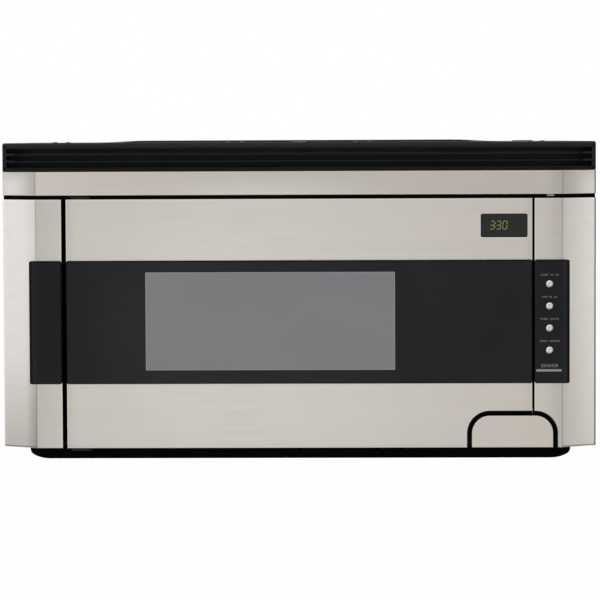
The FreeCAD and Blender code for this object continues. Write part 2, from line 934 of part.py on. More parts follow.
def make_grease_filters():
    """Two lift-out aluminium grease filters: a frame round a thinner mesh."""
    for side, sign in (("left", -1), ("right", 1)):
        left, right = grease_span(sign)
        fit = d.grease_fit
        x_span = (left + fit, right - fit)
        y_span = (grease_front_y + fit, grease_back_y - fit)
        top = d.grease_foot + d.grease_gauge
        block = box("grease_block_" + side, x_span, y_span, (d.grease_foot, top))
        mesh_low = d.grease_foot + (d.grease_gauge - d.grease_mesh) / 2
        inner_x = (x_span[0] + d.grease_frame, x_span[1] - d.grease_frame)
        inner_y = (y_span[0] + d.grease_frame, y_span[1] - d.grease_frame)
        under = box("grease_under_" + side, inner_x, inner_y, (d.grease_foot - PAST, mesh_low))
        over = box("grease_over_" + side, inner_x, inner_y, (mesh_low + d.grease_mesh, top + PAST))
        name = "grease_filter_" + side
        keep(cut(name, block, under, over), name)


def make_lamp_cover():
    """Clear cover of the cooktop lamp, hinged on a round bead along its rear edge."""
    fit = d.lamp_cover_fit
    x_span = (fit - d.lamp_cover_width / 2, d.lamp_cover_width / 2 - fit)
    hinge_y = lamp_back_y - d.lamp_cover_hinge_gap
    bead_radius = d.lamp_cover_gauge / 2
    pane = box(
        "cover_pane",
        x_span,
        (lamp_front_y + fit, hinge_y),
        (d.grease_foot, d.grease_foot + d.lamp_cover_gauge),
    )
    bead = rod("cover_bead", "X", bead_radius, x_span, (hinge_y, d.grease_foot + bead_radius))
    keep(union("lamp_cover", pane, bead), "lamp_cover")


def make_bulb(name, axis, centre, outward):
    """A small lamp: a round glass envelope on a narrower base, outward along its axis."""
    half_length = outward * d.bulb_length / 2
    neck = outward * (d.bulb_length / 2 - d.bulb_base)
    along = {"X": 0, "Y": 1, "Z": 2}[axis]
    rest = [place for index, place in enumerate(centre) if index != along]

    def reach(first, last):
        ends = (centre[along] + first, centre[along] + last)
        return ends if number(ends[0]) < number(ends[1]) else ends[::-1]

    glass = rod(name + "_glass", axis, d.bulb_radius, reach(-half_length, neck), rest)
    base = rod(name + "_base", axis, d.bulb_base_radius, reach(neck, half_length), rest)
    return union(name, glass, base)


def make_lamps():
    """Two cooktop bulbs above their cover and one oven bulb beside the cavity."""
    left = make_bulb("cooktop_bulb_left", "X", (-d.bulb_spacing / 2, bulb_y, bulb_z), -1)
    right = make_bulb("cooktop_bulb_right", "X", (d.bulb_spacing / 2, bulb_y, bulb_z), 1)
    oven_at = (cavity_outer_right + d.bulb_radius, oven_lamp_y, cavity_top - d.guide_width)
    oven = make_bulb("oven_bulb", "Y", oven_at, 1)
    keep(group("lamps", left, right, oven), "lamps")


# ---------------------------------------------------------------- oven cavity and microwave feed

fan_y = case_back - d.fan_setback
magnetron_y = fan_y - d.fan_depth / 2 - d.magnetron_fan_gap - d.magnetron_length / 2
guide_front_y = magnetron_y - d.guide_length / 2
guide_back_y = magnetron_y + d.guide_length / 2
guide_top = d.guide_bottom + d.guide_height
guide_right = cavity_outer_right + d.guide_width
oven_lamp_y = guide_front_y - d.bulb_length


def make_oven_cavity():
    """Welded oven box with its front rim, feed duct and the oven lamp's bracket."""
    gauge = d.cavity_gauge
    rim = d.cavity_rim
    outside = box(
        "cavity_outside",
        (cavity_left - gauge, cavity_outer_right),
        (chassis, cavity_back + gauge),
        (cavity_outer_floor, cavity_outer_top),
    )
    front_rim = box(
        "cavity_rim_sheet",
        (cavity_left - rim, cavity_right + rim),
        (chassis, chassis + gauge),
        (d.cavity_floor - rim, cavity_top + rim),
    )
    guide = box(
        "feed_outside",
        (cavity_right, guide_right),
        (guide_front_y, guide_back_y),
        (d.guide_bottom, guide_top),
    )
    lamp_end = oven_lamp_y + d.bulb_length / 2
    bracket = box(
        "oven_lamp_bracket",
        (cavity_right, cavity_outer_right + 2 * d.bulb_radius),
        (lamp_end, lamp_end + 2 * gauge),
        (cavity_top - d.guide_width - d.bulb_radius, cavity_top - d.guide_width + d.bulb_radius),
    )
    body = union("cavity_blank", outside, front_rim, guide, bracket)
    inside = box(
        "cavity_inside",
        (cavity_left, cavity_right),
        (chassis - PAST, cavity_back),
        (d.cavity_floor, cavity_top),
    )
    duct = box(
        "feed_inside",
        (cavity_outer_right, guide_right - gauge),
        (guide_front_y + gauge, guide_back_y - gauge),
        (d.guide_bottom + gauge, guide_top - gauge),
    )
    margin = d.guide_port_margin
    port = box(
        "feed_port",
        (cavity_right - PAST, cavity_outer_right + PAST),
        (guide_front_y + margin, guide_back_y - margin),
        (d.guide_bottom + margin, guide_top - margin),
    )
    shaft_hole = rod(
        "shaft_hole",
        "Z",
        d.shaft_hole_radius,
        (cavity_outer_floor - PAST, d.cavity_floor + PAST),
        (tray_x, tray_y),
    )
    antenna = rod(
        "antenna_hole",
        "X",
        d.shaft_hole_radius,
        (guide_right - gauge - PAST, guide_right + PAST),
        ((guide_front_y + guide_back_y) / 2, (d.guide_bottom + guide_top) / 2),
    )
    keep(cut("oven_cavity", body, inside, duct, port, shaft_hole, antenna), "oven_cavity")


def make_waveguide_cover():
    """Mica sheet over the feed port, on the cavity's right wall."""
    reach = d.mica_overlap - d.guide_port_margin
    cover = box(
        "waveguide_cover",
        (cavity_right - d.mica_gauge - d.mica_fit, cavity_right - d.mica_fit),
        (guide_front_y - reach, guide_back_y + reach),
        (d.guide_bottom - reach, guide_top + reach),
    )
    keep(cover, "waveguide_cover")


def make_magnetron():
    """Magnetron: a steel yoke round stacked cooling fins, with its antenna in the feed duct."""
    yoke = d.magnetron_yoke
    left = guide_right
    right = left + d.magnetron_width
    middle_y = (guide_front_y + guide_back_y) / 2
    middle_z = (d.guide_bottom + guide_top) / 2
    y_span = (middle_y - d.magnetron_length / 2, middle_y + d.magnetron_length / 2)
    z_span = (middle_z - d.magnetron_height / 2, middle_z + d.magnetron_height / 2)
    block = box("yoke_block", (left, right), y_span, z_span)
    hollow = box(
        "yoke_hollow",
        (left + yoke, right - yoke),
        (y_span[0] - PAST, y_span[1] + PAST),
        (z_span[0] + yoke, z_span[1] - yoke),
    )
    parts = [
        cut("yoke", block, hollow),
        rod("anode", "X", d.magnetron_core_radius, (left, right), (middle_y, middle_z)),
        rod(
            "antenna",
            "X",
            d.shaft_hole_radius / 2,
            (cavity_outer_right + d.guide_width / 2, left + yoke),
            (middle_y, middle_z),
        ),
    ]
    count = SIZES["magnetron_fin_count"]
    pitch = (d.magnetron_width - 2 * yoke) / (count + 1)
    for index in range(1, count + 1):
        start = left + yoke + index * pitch - d.magnetron_fin_gauge / 2
        span = (start, start + d.magnetron_fin_gauge)
        fin_y = (y_span[0] + yoke, y_span[1] - yoke)
        parts.append(box("fin_%d" % index, span, fin_y, z_span))
    keep(union("magnetron", *parts), "magnetron")


# ---------------------------------------------------------------- turntable

roller_axis_z = d.cavity_floor + d.floor_clearance + d.roller_radius
support_low = d.cavity_floor + d.floor_clearance + 1.5 * d.tray_lift
tray_low = roller_axis_z + d.roller_radius + d.tray_lift


def make_turntable_motor():
    """Flat synchronous motor screwed under the cavity floor by two lugs."""
    low = cavity_outer_floor - d.motor_height
    can = rod("motor_can", "Z", d.motor_radius, (low, cavity_outer_floor), (tray_x, tray_y))
    reach = d.motor_radius + d.motor_lug
    lugs = box(
        "motor_lugs",
        (tray_x - reach, tray_x + reach),
        (tray_y - d.motor_lug / 2, tray_y + d.motor_lug / 2),
        (cavity_outer_floor - d.floor_gauge, cavity_outer_floor),
    )
    well = rod(
        "motor_well",
        "Z",
        d.shaft_hole_radius,
        (cavity_outer_floor - d.coupling_height, cavity_outer_floor + PAST),
        (tray_x, tray_y),
    )
    keep(cut("turntable_motor", union("motor_blank", can, lugs), well), "turntable_motor")


def make_turntable_coupling():
    """Three-lobed drive piece on the motor's shaft, inside the roller support's hub."""
    low = cavity_outer_floor - d.coupling_height + d.coupling_fit
    shaft = rod("drive_shaft", "Z", d.shaft_radius, (low, support_low + d.coupling_fit), (tray_x, tray_y))
    head_low = support_low + d.coupling_fit
    head = rod("drive_head", "Z", d.coupling_radius, (head_low, tray_low - d.coupling_fit), (tray_x, tray_y))
    keep(union("turntable_coupling", shaft, head), "turntable_coupling")


def make_roller_support():
    """Hub with three arms; each arm ends in the axle of one roller."""
    body = doc.addObject("PartDesign::Body", "roller_support")
    zero = 0 * d.case_gauge
    hub_bore = d.coupling_radius + d.coupling_fit / 2
    pad(body, "hub", "XY", (zero, d.hub_height), [(zero, zero, d.hub_radius), (zero, zero, hub_bore)])
    axle_level = roller_axis_z - support_low
    arm_low = axle_level - d.arm_height / 2
    arm = pad(
        body,
        "arm",
        "XY",
        (arm_low, arm_low + d.arm_height),
        [rectangle(d.hub_radius - PAST, d.axle_root, -d.arm_width / 2, d.arm_width / 2)],
    )
    axle_span = (d.axle_root - PAST, d.axle_root + d.axle_length)
    axle = pad(body, "axle", "YZ", axle_span, [(zero, axle_level, d.axle_radius)])
    rest = pad(
        body,
        "rest",
        "XY",
        (axle_level, tray_low - support_low),
        [(d.axle_root - d.arm_width, zero, d.arm_width / 2)],
    )
    repeat_round(body, "arms", [arm, axle, rest], "Z_Axis", Size(3, "3"))
    stand(body, "Z", (tray_x, tray_y, support_low))
    keep(body, "roller_support")


def make_rollers():
    """Three rollers that run on the cavity floor."""
    start = d.roller_track - d.roller_width / 2
    for index in range(3):
        angle = 120 * index
        name = "roller_%d" % (index + 1)
        body = doc.addObject("PartDesign::Body", name)
        zero = 0 * d.case_gauge
        rings = [(zero, zero, d.roller_radius), (zero, zero, d.axle_radius + d.roller_fit)]
        pad(body, name + "_pad", "YZ", (start, start + d.roller_width), rings)
        body.Placement = FreeCAD.Placement(V(0, 0, 0), FreeCAD.Rotation(UP, angle))
        for letter, place in zip("xyz", (tray_x, tray_y, roller_axis_z)):
            bind(body, "Placement.Base." + letter, place)
        keep(body, name)


def make_glass_tray():
    """Round glass turntable with a raised rim."""
    zero = 0 * d.case_gauge
    rim_inner = d.tray_radius - d.tray_rim_width
    profile = [
        (zero, zero),
        (rim_inner, zero),
        (d.tray_radius, d.tray_rim),
        (d.tray_radius - d.tray_gauge, d.tray_rim),
        (rim_inner - d.tray_gauge / 2, d.tray_gauge),
        (zero, d.tray_gauge),
    ]
    keep(turned("glass_tray", "Z", (tray_x, tray_y, tray_low), profile), "glass_tray")


# ---------------------------------------------------------------- hood blower

blower_base = cavity_outer_top
blower_y = case_back - d.exhaust_setback - d.exhaust_depth / 2
blower_z = blower_base + d.blower_base_gauge + d.scroll_radius
scroll_outer = d.exhaust_width / 2
wheel_start = d.scroll_inner + (scroll_outer - d.scroll_inner - d.wheel_length) / 2


def make_blower_housing():
    """Two scrolls on one base plate; each blows up into the exhaust opening."""
    shells = []
    hollows = []
    for side, sign in (("left", -1), ("right", 1)):
        ends = sorted((sign * d.scroll_inner, sign * scroll_outer), key=number)
        wall_gauge = d.scroll_wall
        inner = (ends[0] + wall_gauge, ends[1] - wall_gauge)
        outlet = (blower_y - d.scroll_radius / 2, blower_y + d.scroll_radius)
        outlet_in = (outlet[0] + wall_gauge, outlet[1] - wall_gauge)
        shells.append(rod("scroll_" + side, "X", d.scroll_radius, ends, (blower_y, blower_z)))
        shells.append(box("outlet_" + side, ends, outlet, (blower_z, top_inner)))
        radius_in = d.scroll_radius - wall_gauge
        hollows.append(rod("scroll_in_" + side, "X", radius_in, inner, (blower_y, blower_z)))
        hollows.append(box("outlet_in_" + side, inner, outlet_in, (blower_z, top_inner + PAST)))
        inlet = (ends[0] - PAST, ends[1] + PAST)
        hollows.append(rod("inlet_" + side, "X", d.scroll_inlet, inlet, (blower_y, blower_z)))
    base = box(
        "blower_base",
        (-scroll_outer, scroll_outer),
        (blower_y - d.scroll_radius, blower_y + d.scroll_radius),
        (blower_base, blower_base + d.blower_base_gauge),
    )
    feet = box(
        "blower_feet",
        (-scroll_outer, scroll_outer),
        (blower_y - d.scroll_radius / 2, blower_y + d.scroll_radius / 2),
        (blower_base, blower_z - d.scroll_radius / 2),
    )
    between = box(
        "blower_motor_bay",
        (-d.scroll_inner, d.scroll_inner),
        (blower_y - d.scroll_radius - PAST, blower_y + d.scroll_radius + PAST),
        (blower_base + d.blower_base_gauge, blower_z),
    )
    blank = union("blower_blank", cut("blower_feet_open", feet, between), base, *shells)
    keep(cut("blower_housing", blank, *hollows), "blower_housing")


def make_blower_motor():
    """Double-shaft motor between the scrolls, on a foot."""
    reach = d.blower_motor_length / 2
    can = rod("blower_can", "X", d.blower_motor_radius, (-reach, reach), (blower_y, blower_z))
    foot = box(
        "blower_foot",
        (-reach / 2, reach / 2),
        (blower_y - d.blower_motor_radius / 2, blower_y + d.blower_motor_radius / 2),
        (blower_base + d.blower_base_gauge, blower_z),
    )
    bore_radius = d.blower_shaft_radius + d.blower_shaft_fit
    bore = rod("blower_bore", "X", bore_radius, (-reach - PAST, reach + PAST), (blower_y, blower_z))
    keep(cut("blower_motor", union("blower_motor_blank", can, foot), bore), "blower_motor")


def make_blower_wheel(side, sign):
    """One squirrel-cage wheel: back plate, ring of blades and end ring."""
    name = "blower_wheel_" + side
    body = doc.addObject("PartDesign::Body", name)
    zero = 0 * d.case_gauge
    radius = d.wheel_radius
    ring_in = radius - d.wheel_blade_height
    disc = [(zero, zero, radius), (zero, zero, d.blower_shaft_radius / 2)]
    pad(body, name + "_disc", "YZ", (zero, d.wheel_plate), disc)
    blade = pad(
        body,
        name + "_blade",
        "YZ",
        (d.wheel_plate - d.wheel_plate / 2, d.wheel_length - d.wheel_plate / 2),
        [rectangle(-d.wheel_blade / 2, d.wheel_blade / 2, ring_in + d.wheel_blade / 2, radius - d.wheel_blade / 2)],
    )
    repeat_round(body, name + "_blades", [blade], "X_Axis", d.wheel_blade_count)
    pad(
        body,
        name + "_ring",
        "YZ",
        (d.wheel_length - d.wheel_plate, d.wheel_length),
        [(zero, zero, radius), (zero, zero, ring_in)],
    )
    turn = FreeCAD.Rotation(UP, 0 if sign > 0 else 180)
    body.Placement = FreeCAD.Placement(V(0, 0, 0), turn)
    for letter, place in zip("xyz", (sign * wheel_start, blower_y, blower_z)):
        bind(body, "Placement.Base." + letter, place)
    return body


def make_blower_rotor():
    """Both wheels on the motor's one shaft."""
    reach = wheel_start + d.wheel_plate
    shaft = rod("blower_shaft", "X", d.blower_shaft_radius, (-reach, reach), (blower_y, blower_z))
    wheels = [make_blower_wheel("left", -1), make_blower_wheel("right", 1)]
    keep(union("blower_rotor", shaft, *wheels), "blower_rotor")


# ---------------------------------------------------------------- electrical compartment

fan_x = half - d.fan_inset
supply_x = half - d.supply_inset
supply_y = case_back - d.supply_setback


def make_cooling_fan():
    """Axial fan that blows along Y over the magnetron's fins."""
    tip = d.fan_opening - d.fan_tip_gap
    zero = 0 * d.case_gauge
    body = doc.addObject("PartDesign::Body", "fan_rotor")
    pad(body, "fan_hub", "XZ", (zero, d.fan_depth), [(zero, zero, d.fan_hub_radius)])
    chord = (tip - d.fan_hub_radius) / 2
    blade = pad(
        body,
        "fan_blade",
        "XY",
        (d.fan_hub_radius / 2, tip),
        [
            [
                (-chord / 2, PAST * zero + d.fan_blade / 2),
                (-chord / 2 + d.fan_blade, d.fan_blade / 2),
                (chord / 2, d.fan_depth - d.fan_blade / 2),
                (chord / 2 - d.fan_blade, d.fan_depth - d.fan_blade / 2),
            ]
        ],
    )
    repeat_round(body, "fan_blades", [blade], "Y_Axis", d.fan_blade_count)
    for letter, place in zip("xyz", (fan_x, fan_y - d.fan_depth / 2, d.fan_z)):
        bind(body, "Placement.Base." + letter, place)
    shaft_end = fan_y + d.fan_depth + d.fan_motor_length
    shaft = rod("fan_shaft", "Y", d.fan_shaft_radius, (fan_y, shaft_end), (fan_x, d.fan_z))
    keep(union("cooling_fan", body, shaft), "cooling_fan")


def make_cooling_fan_housing():
    """Square shroud with a round mouth, on the chassis floor, and the fan motor on two struts."""
    halfside = d.fan_frame_half
    y_span = (fan_y - d.fan_frame / 2, fan_y + d.fan_frame / 2)
    x_span = (fan_x - halfside, fan_x + halfside)
    frame = box("fan_frame_block", x_span, y_span, (floor_top, d.fan_z + halfside))
    mouth = rod("fan_mouth", "Y", d.fan_opening, (y_span[0] - PAST, y_span[1] + PAST), (fan_x, d.fan_z))
    window = box(
        "fan_frame_window",
        (x_span[0] + d.fan_strut, x_span[1] - d.fan_strut),
        (y_span[0] - PAST, y_span[1] + PAST),
        (floor_top + d.fan_strut, d.fan_z - halfside),
    )
    motor_start = fan_y + d.fan_depth
    motor = rod(
        "fan_motor",
        "Y",
        d.fan_motor_radius,
        (motor_start, motor_start + d.fan_motor_length),
        (fan_x, d.fan_z),
    )
    bore = rod(
        "fan_bore",
        "Y",
        d.fan_shaft_radius + d.fan_shaft_fit,
        (fan_y, motor_start + d.fan_motor_length + PAST),
        (fan_x, d.fan_z),
    )
    strut_z = (d.fan_z - d.fan_strut / 2, d.fan_z + d.fan_strut / 2)
    struts = []
    for side, sign in (("left", -1), ("right", 1)):
        outer = sorted((sign * (halfside - d.fan_strut), sign * halfside), key=number)
        inner = sorted((sign * d.fan_motor_radius / 2, sign * halfside), key=number)
        leg = (fan_x + outer[0], fan_x + outer[1])
        beam = (fan_x + inner[0], fan_x + inner[1])
        beam_y = (motor_start + d.fan_motor_length / 2, motor_start + d.fan_motor_length / 2 + d.fan_strut)
        struts.append(box("fan_leg_" + side, leg, (y_span[0], beam_y[1]), strut_z))
        struts.append(box("fan_beam_" + side, beam, beam_y, strut_z))
    blank = union("fan_blank", cut("fan_frame", frame, mouth, window), motor, *struts)
    keep(cut("cooling_fan_housing", blank, bore), "cooling_fan_housing")


def make_high_voltage_supply():
    """Transformer and capacitor on the chassis floor."""
    x_span = (supply_x - d.core_width / 2, supply_x + d.core_width / 2)
    y_span = (supply_y - d.core_depth / 2, supply_y + d.core_depth / 2)
    core = box("transformer_core", x_span, y_span, (floor_top, floor_top + d.core_height))
    coil_low = floor_top + (d.core_height - d.coil_height) / 2
    coil = box(
        "transformer_coil",
        (x_span[0] + d.coil_bulge, x_span[1] - d.coil_bulge),
        (y_span[0] - d.coil_bulge, y_span[1] + d.coil_bulge),
        (coil_low, coil_low + d.coil_height),
    )
    can_y = y_span[0] - d.coil_bulge - d.capacitor_gap - d.capacitor_radius
    can_x = (supply_x - d.capacitor_length / 2, supply_x + d.capacitor_length / 2)
    can_z = floor_top + d.capacitor_radius
    can = rod("capacitor_can", "X", d.capacitor_radius, can_x, (can_y, can_z))
    strap = box(
        "capacitor_strap",
        (supply_x - d.capacitor_gap, supply_x + d.capacitor_gap),
        (can_y - d.capacitor_radius, can_y + d.capacitor_radius),
        (floor_top, can_z),
    )
    transformer = union("transformer", core, coil)
    keep(group("high_voltage_supply", transformer, union("capacitor", can, strap)), "high_voltage_supply")


button_x = right_trim_edge + d.button_inset
control_board_left = half - d.control_board_inset - d.control_board_width
button_levels = [d.button_top - index * d.button_pitch for index in range(4)]
tact_front = skin_back + d.button_rest_gap + d.button_flange_gauge + d.button_stem + d.button_travel
tact_top = tact_front + d.button_rest_gap
button_board_front = tact_top + d.tact_height


def make_circuit_boards():
    """Main board with its relays behind the front plate, and the button board with four switches."""
    left = control_board_left
    low = d.control_board_bottom
    y = chassis + d.control_board_standoff
    x_span = (left, left + d.control_board_width)
    z_span = (low, low + d.control_board_height)
    parts = [box("control_board_sheet", x_span, (y, y + d.board_gauge), z_span)]
    for side, x in (("left", x_span[0] + d.board_margin), ("right", x_span[1] - d.board_margin)):
        for level, z in (("low", z_span[0] + d.board_margin), ("high", z_span[1] - d.board_margin)):
            name = "control_post_%s_%s" % (side, level)
            parts.append(rod(name, "Y", d.standoff_radius, (chassis, y), (x, z)))
    relay = d.board_margin * 2
    for index in range(4):
        start = x_span[0] + d.board_margin + index * relay * 1.3
        depth = (y + d.board_gauge, y + d.board_gauge + relay)
        height = (z_span[0] + relay * 2, z_span[0] + relay * 3)
        parts.append(box("relay_%d" % index, (start, start + relay), depth, height))
    supply = box(
        "board_transformer",
        (x_span[0] + 2 * relay, x_span[0] + 4 * relay),
        (y + d.board_gauge, y + d.board_gauge + 1.5 * relay),
        (z_span[1] - 3 * relay, z_span[1] - relay),
    )
    main_board = union("control_board", *parts, supply)
    board_low = button_levels[-1] - d.board_margin
    board_high = button_levels[0] + d.board_margin
    small = [
        box(
            "button_board_sheet",
            (button_x - d.board_half_width, button_x + d.board_half_width),
            (button_board_front, button_board_front + d.board_gauge),
            (board_low, board_high),
        )
    ]
    for index, z in enumerate(button_levels):
        side = d.tact_side / 2
        x_tact = (button_x - side, button_x + side)
        small.append(box("tact_%d" % index, x_tact, (tact_top, button_board_front), (z - side, z + side)))
    for level, z in (("low", board_low + d.standoff_radius), ("high", board_high - d.standoff_radius)):
        post = (button_board_front + d.board_gauge, flange)
        small.append(rod("button_post_" + level, "Y", d.standoff_radius, post, (button_x, z)))
    keep(group("circuit_boards", main_board, union("button_board", *small)), "circuit_boards")


# ---------------------------------------------------------------- front trim


def make_trim(side, sign, edge):
    """Bent steel strip beside the door: return, front face, creased wing and side return."""
    gauge = d.trim_gauge
    wing_end = face + d.wing_drop
    slope_back = face + gauge + d.wing_drop * (half - gauge - crease_half) / (half - crease_half)
    inner = edge - sign * gauge if sign < 0 else edge + gauge
    inner = edge + sign * gauge
    corners = [
        (edge, flange),
        (edge, face),
        (sign * crease_half, face),
        (sign * half, wing_end),
        (sign * half, case_front),
        (sign * (half - gauge), case_front),
        (sign * (half - gauge), slope_back),
        (sign * crease_half, skin_back),
        (inner, skin_back),
        (inner, flange),
    ]
    return slab("trim_sheet_" + side, "XY", (door_bottom, door_top), corners)


def make_left_trim():
    """Trim on the hinge side."""
    keep(make_trim("left", -1, left_trim_edge), "trim_left")


def make_right_trim():
    """Trim beside the door's free edge, with four button holes and half of the handle's arch."""
    bent = make_trim("right", 1, right_trim_edge)
    tools = [
        slab(
            "trim_arch",
            "XZ",
            (face - PAST, recess_back),
            arch_outline(arch_left, arch_right, door_bottom - PAST, arch_top, d.arch_corner),
        )
    ]
    hole = d.button_radius + d.button_fit
    for index, z in enumerate(button_levels):
        span = (face - PAST, skin_back + PAST)
        tools.append(rod("trim_button_hole_%d" % index, "Y", hole, span, (button_x, z)))
    keep(cut("trim_right", bent, *tools), "trim_right")


def make_trim_recess():
    """Black liner of the handle's recess on the trim."""
    gap = d.recess_wall
    left = right_trim_edge + d.trim_gauge
    outer = arch_outline(arch_left, arch_right, door_bottom, arch_top, d.arch_corner)
    dish = slab("trim_dish", "XZ", (face, recess_back), outer)
    inner = arch_outline(
        arch_left + gap, arch_right - gap, door_bottom - PAST, arch_top - gap, d.arch_corner - gap
    )
    hollow = slab("trim_dish_inside", "XZ", (face - PAST, recess_back - gap), inner)
    far = box(
        "trim_dish_left",
        (arch_left - PAST, left),
        (face - PAST, recess_back + PAST),
        (door_bottom - PAST, arch_top + PAST),
    )
    keep(cut("trim_recess", dish, hollow, far), "trim_recess")


def make_top_band():
    """Full-width steel band between the door and the grille, folded back at both edges."""
    gauge = d.trim_gauge
    front = slab("band_front", "XY", (band_low, band_high), plan_outline(case_front))
    inner = [
        (-(half - gauge), case_front + PAST),
        (half - gauge, case_front + PAST),
        (half - gauge, face + gauge + d.wing_drop * (half - gauge - crease_half) / (half - crease_half)),
        (crease_half, skin_back),
        (-crease_half, skin_back),
        (-(half - gauge), face + gauge + d.wing_drop * (half - gauge - crease_half) / (half - crease_half)),
    ]
    hollow = slab("band_hollow", "XY", (band_low - PAST, band_high + PAST), inner)
    fold = (-crease_half, crease_half)
    lower = box("band_lower_fold", fold, (skin_back, case_front), (band_low, band_low + gauge))
    upper = box("band_upper_fold", fold, (skin_back, flange), (band_high - gauge, band_high))
    keep(union("top_band", cut("band_shell", front, hollow), lower, upper), "top_band")


def make_side_glass(side, sign, edge):
    """Dark panel on a trim, in line with the door's glass."""
    left, right = sorted((edge, sign * glass_half), key=number)
    panel = slab(
        "glass_panel_" + side,
        "XZ",
        (glass_front, face),
        rounded(left, right, d.glass_bottom, glass_top, d.glass_corner),
    )
    if sign < 0:
        return keep(panel, "band_left")
    hole = d.button_radius + d.button_fit
    holes = []
    for index, z in enumerate(button_levels):
        span = (glass_front - PAST, face + PAST)
        holes.append(rod("glass_button_hole_%d" % index, "Y", hole, span, (button_x, z)))
    return keep(cut("band_right", panel, *holes), "band_right")


def make_buttons():
    """Four push buttons: a round cap, a hidden flange that keeps it in, and a stem."""
    front = glass_front - d.button_proud
    flange_front = skin_back + d.button_rest_gap
    for index, z in enumerate(button_levels):
        at = (button_x, z)
        name = "button_%d" % (index + 1)
        ring = (flange_front, flange_front + d.button_flange_gauge)
        stem = (ring[1], ring[1] + d.button_stem)
        cap = rod(name + "_cap", "Y", d.button_radius, (front, ring[1]), at)
        collar = rod(name + "_collar", "Y", d.button_radius + d.button_flange, ring, at)
        post = rod(name + "_stem", "Y", d.button_stem_radius, stem, at)
        keep(union(name, cap, collar, post), name)


# ---------------------------------------------------------------- vent grille


def grille_corner(name, side):
    """What comes off one upper corner of the grille to leave it round."""
    radius = d.grille_corner
    centre = side * (half - radius)
    ends = (centre, half + PAST) if side > 0 else (-half - PAST, centre)
    through = (face - PAST, case_front + PAST)
    square = box("corner_" + name, ends, through, (case_top - radius, case_top + PAST))
    beyond = (face - 2 * PAST, case_front + 2 * PAST)
    kept = rod("corner_kept_" + name, "Y", radius, beyond, (centre, case_top - radius))
    return cut("grille_corner_" + name, square, kept)


def make_vent_grille():
    """Black louvre across the full width: a frame and two level blades."""
    body = slab("grille_body", "XY", (band_high, case_top), plan_outline(case_front))
    low = band_high + d.grille_bottom_rail
    high = case_top - d.grille_top_rail
    opening = box(
        "grille_opening",
        (d.grille_end - half, half - d.grille_end),
        (face - PAST, case_front + PAST),
        (low, high),
    )
    slot = (high - low - 2 * d.grille_blade) / 3
    blades = []
    for index in range(2):
        start = low + slot + index * (slot + d.grille_blade)
        setback = d.grille_blade_setback
        blade = slab(
            "grille_blade_%d" % index,
            "XY",
            (start, start + d.grille_blade),
            [
                (half - d.grille_end, face + d.wing_drop + setback),
                (half - d.grille_end, face + d.wing_drop + setback + d.grille_blade_depth / 3),
                (crease_half, face + setback + d.grille_blade_depth),
                (-crease_half, face + setback + d.grille_blade_depth),
                (d.grille_end - half, face + d.wing_drop + setback + d.grille_blade_depth / 3),
                (d.grille_end - half, face + d.wing_drop + setback),
                (-crease_half, face + setback),
                (crease_half, face + setback),
            ],
        )
        blades.append(blade)
    corners = [grille_corner("left", -1), grille_corner("right", 1)]
    keep(union("vent_grille", cut("grille_frame", body, opening, *corners), *blades), "vent_grille")


def make_charcoal_filter():
    """Charcoal filter in the duct mouth behind the grille."""
    fit = d.charcoal_fit
    block = box(
        "charcoal_filter",
        (fit - d.filter_slot_half, d.filter_slot_half - fit),
        (flange - d.charcoal_gauge / 2, flange + d.charcoal_gauge / 2),
        (band_high + d.filter_slot_rail + fit, top_inner - d.filter_slot_rail - fit),
    )
    keep(block, "charcoal_filter")


gap_clip_x = right_trim_edge + d.gap_clip_inset


def make_steel_clips():
    """Three zinc clips along the top of the grille and one in the gap above the right trim."""
    y_span = (case_front - d.clip_overlap, case_front - d.clip_overlap + d.clip_depth)
    clips = []
    for index in (-1, 0, 1):
        middle = index * d.clip_pitch
        x_span = (middle - d.clip_width / 2, middle + d.clip_width / 2)
        clips.append(box("top_clip_%d" % (index + 2), x_span, y_span, (case_top, case_top + d.clip_gauge)))
    gap_x = (gap_clip_x - d.gap_clip_width / 2, gap_clip_x + d.gap_clip_width / 2)
    gap_z = (band_low - d.gap_clip_gauge, band_low)
    clips.append(box("gap_clip", gap_x, (skin_back, case_front), gap_z))
    keep(group("steel_clips", *clips), "steel_clips")


def make_case_screws():
    """Pairs of small screw heads on the grille's top rail."""
    heads = []
    screw_outer = half - d.screw_pair_inset
    y = case_front - d.clip_depth
    for pair, centre in enumerate((-screw_outer, -d.screw_pair_offset, d.screw_pair_offset, screw_outer)):
        for which, sign in enumerate((-0.5, 0.5)):
            across = (centre + sign * d.screw_spacing, y)
            name = "screw_%d_%d" % (pair, which)
            heads.append(rod(name, "Z", d.screw_head_radius, (case_top, case_top + d.screw_head_height), across))
    keep(group("case_screws", *heads), "case_screws")


# ---------------------------------------------------------------- door


def make_door_skin():
    """Brushed steel door skin: front, four returns, and openings for window, lens and handle."""
    gauge = d.skin_gauge
    back = face + d.skin_return
    outside = box("skin_outside", (door_left, door_right), (face, back), (door_bottom, door_top))
    inside = box(
        "skin_inside",
        (door_left + gauge, door_right - gauge),
        (face + gauge, back + PAST),
        (door_bottom + gauge, door_top - gauge),
    )
    through = (face - PAST, face + gauge + PAST)
    window = box("skin_window", (window_left, window_right), through, (d.window_bottom, window_top))
    lens = slab(
        "skin_lens",
        "XZ",
        through,
        rounded(display_left, display_right, d.display_bottom, display_top, d.display_corner),
    )
    arch = slab(
        "skin_arch",
        "XZ",
        (face - PAST, back + PAST),
        arch_outline(arch_left, arch_right, door_bottom - PAST, arch_top, d.arch_corner),
    )
    bush = rod(
        "skin_bush_holes",
        "Z",
        d.bush_radius + d.pin_fit,
        (door_bottom - PAST, door_top + PAST),
        (pin_x, pin_y),
    )
    keep(cut("door_skin", outside, inside, window, lens, arch, bush), "door_skin")


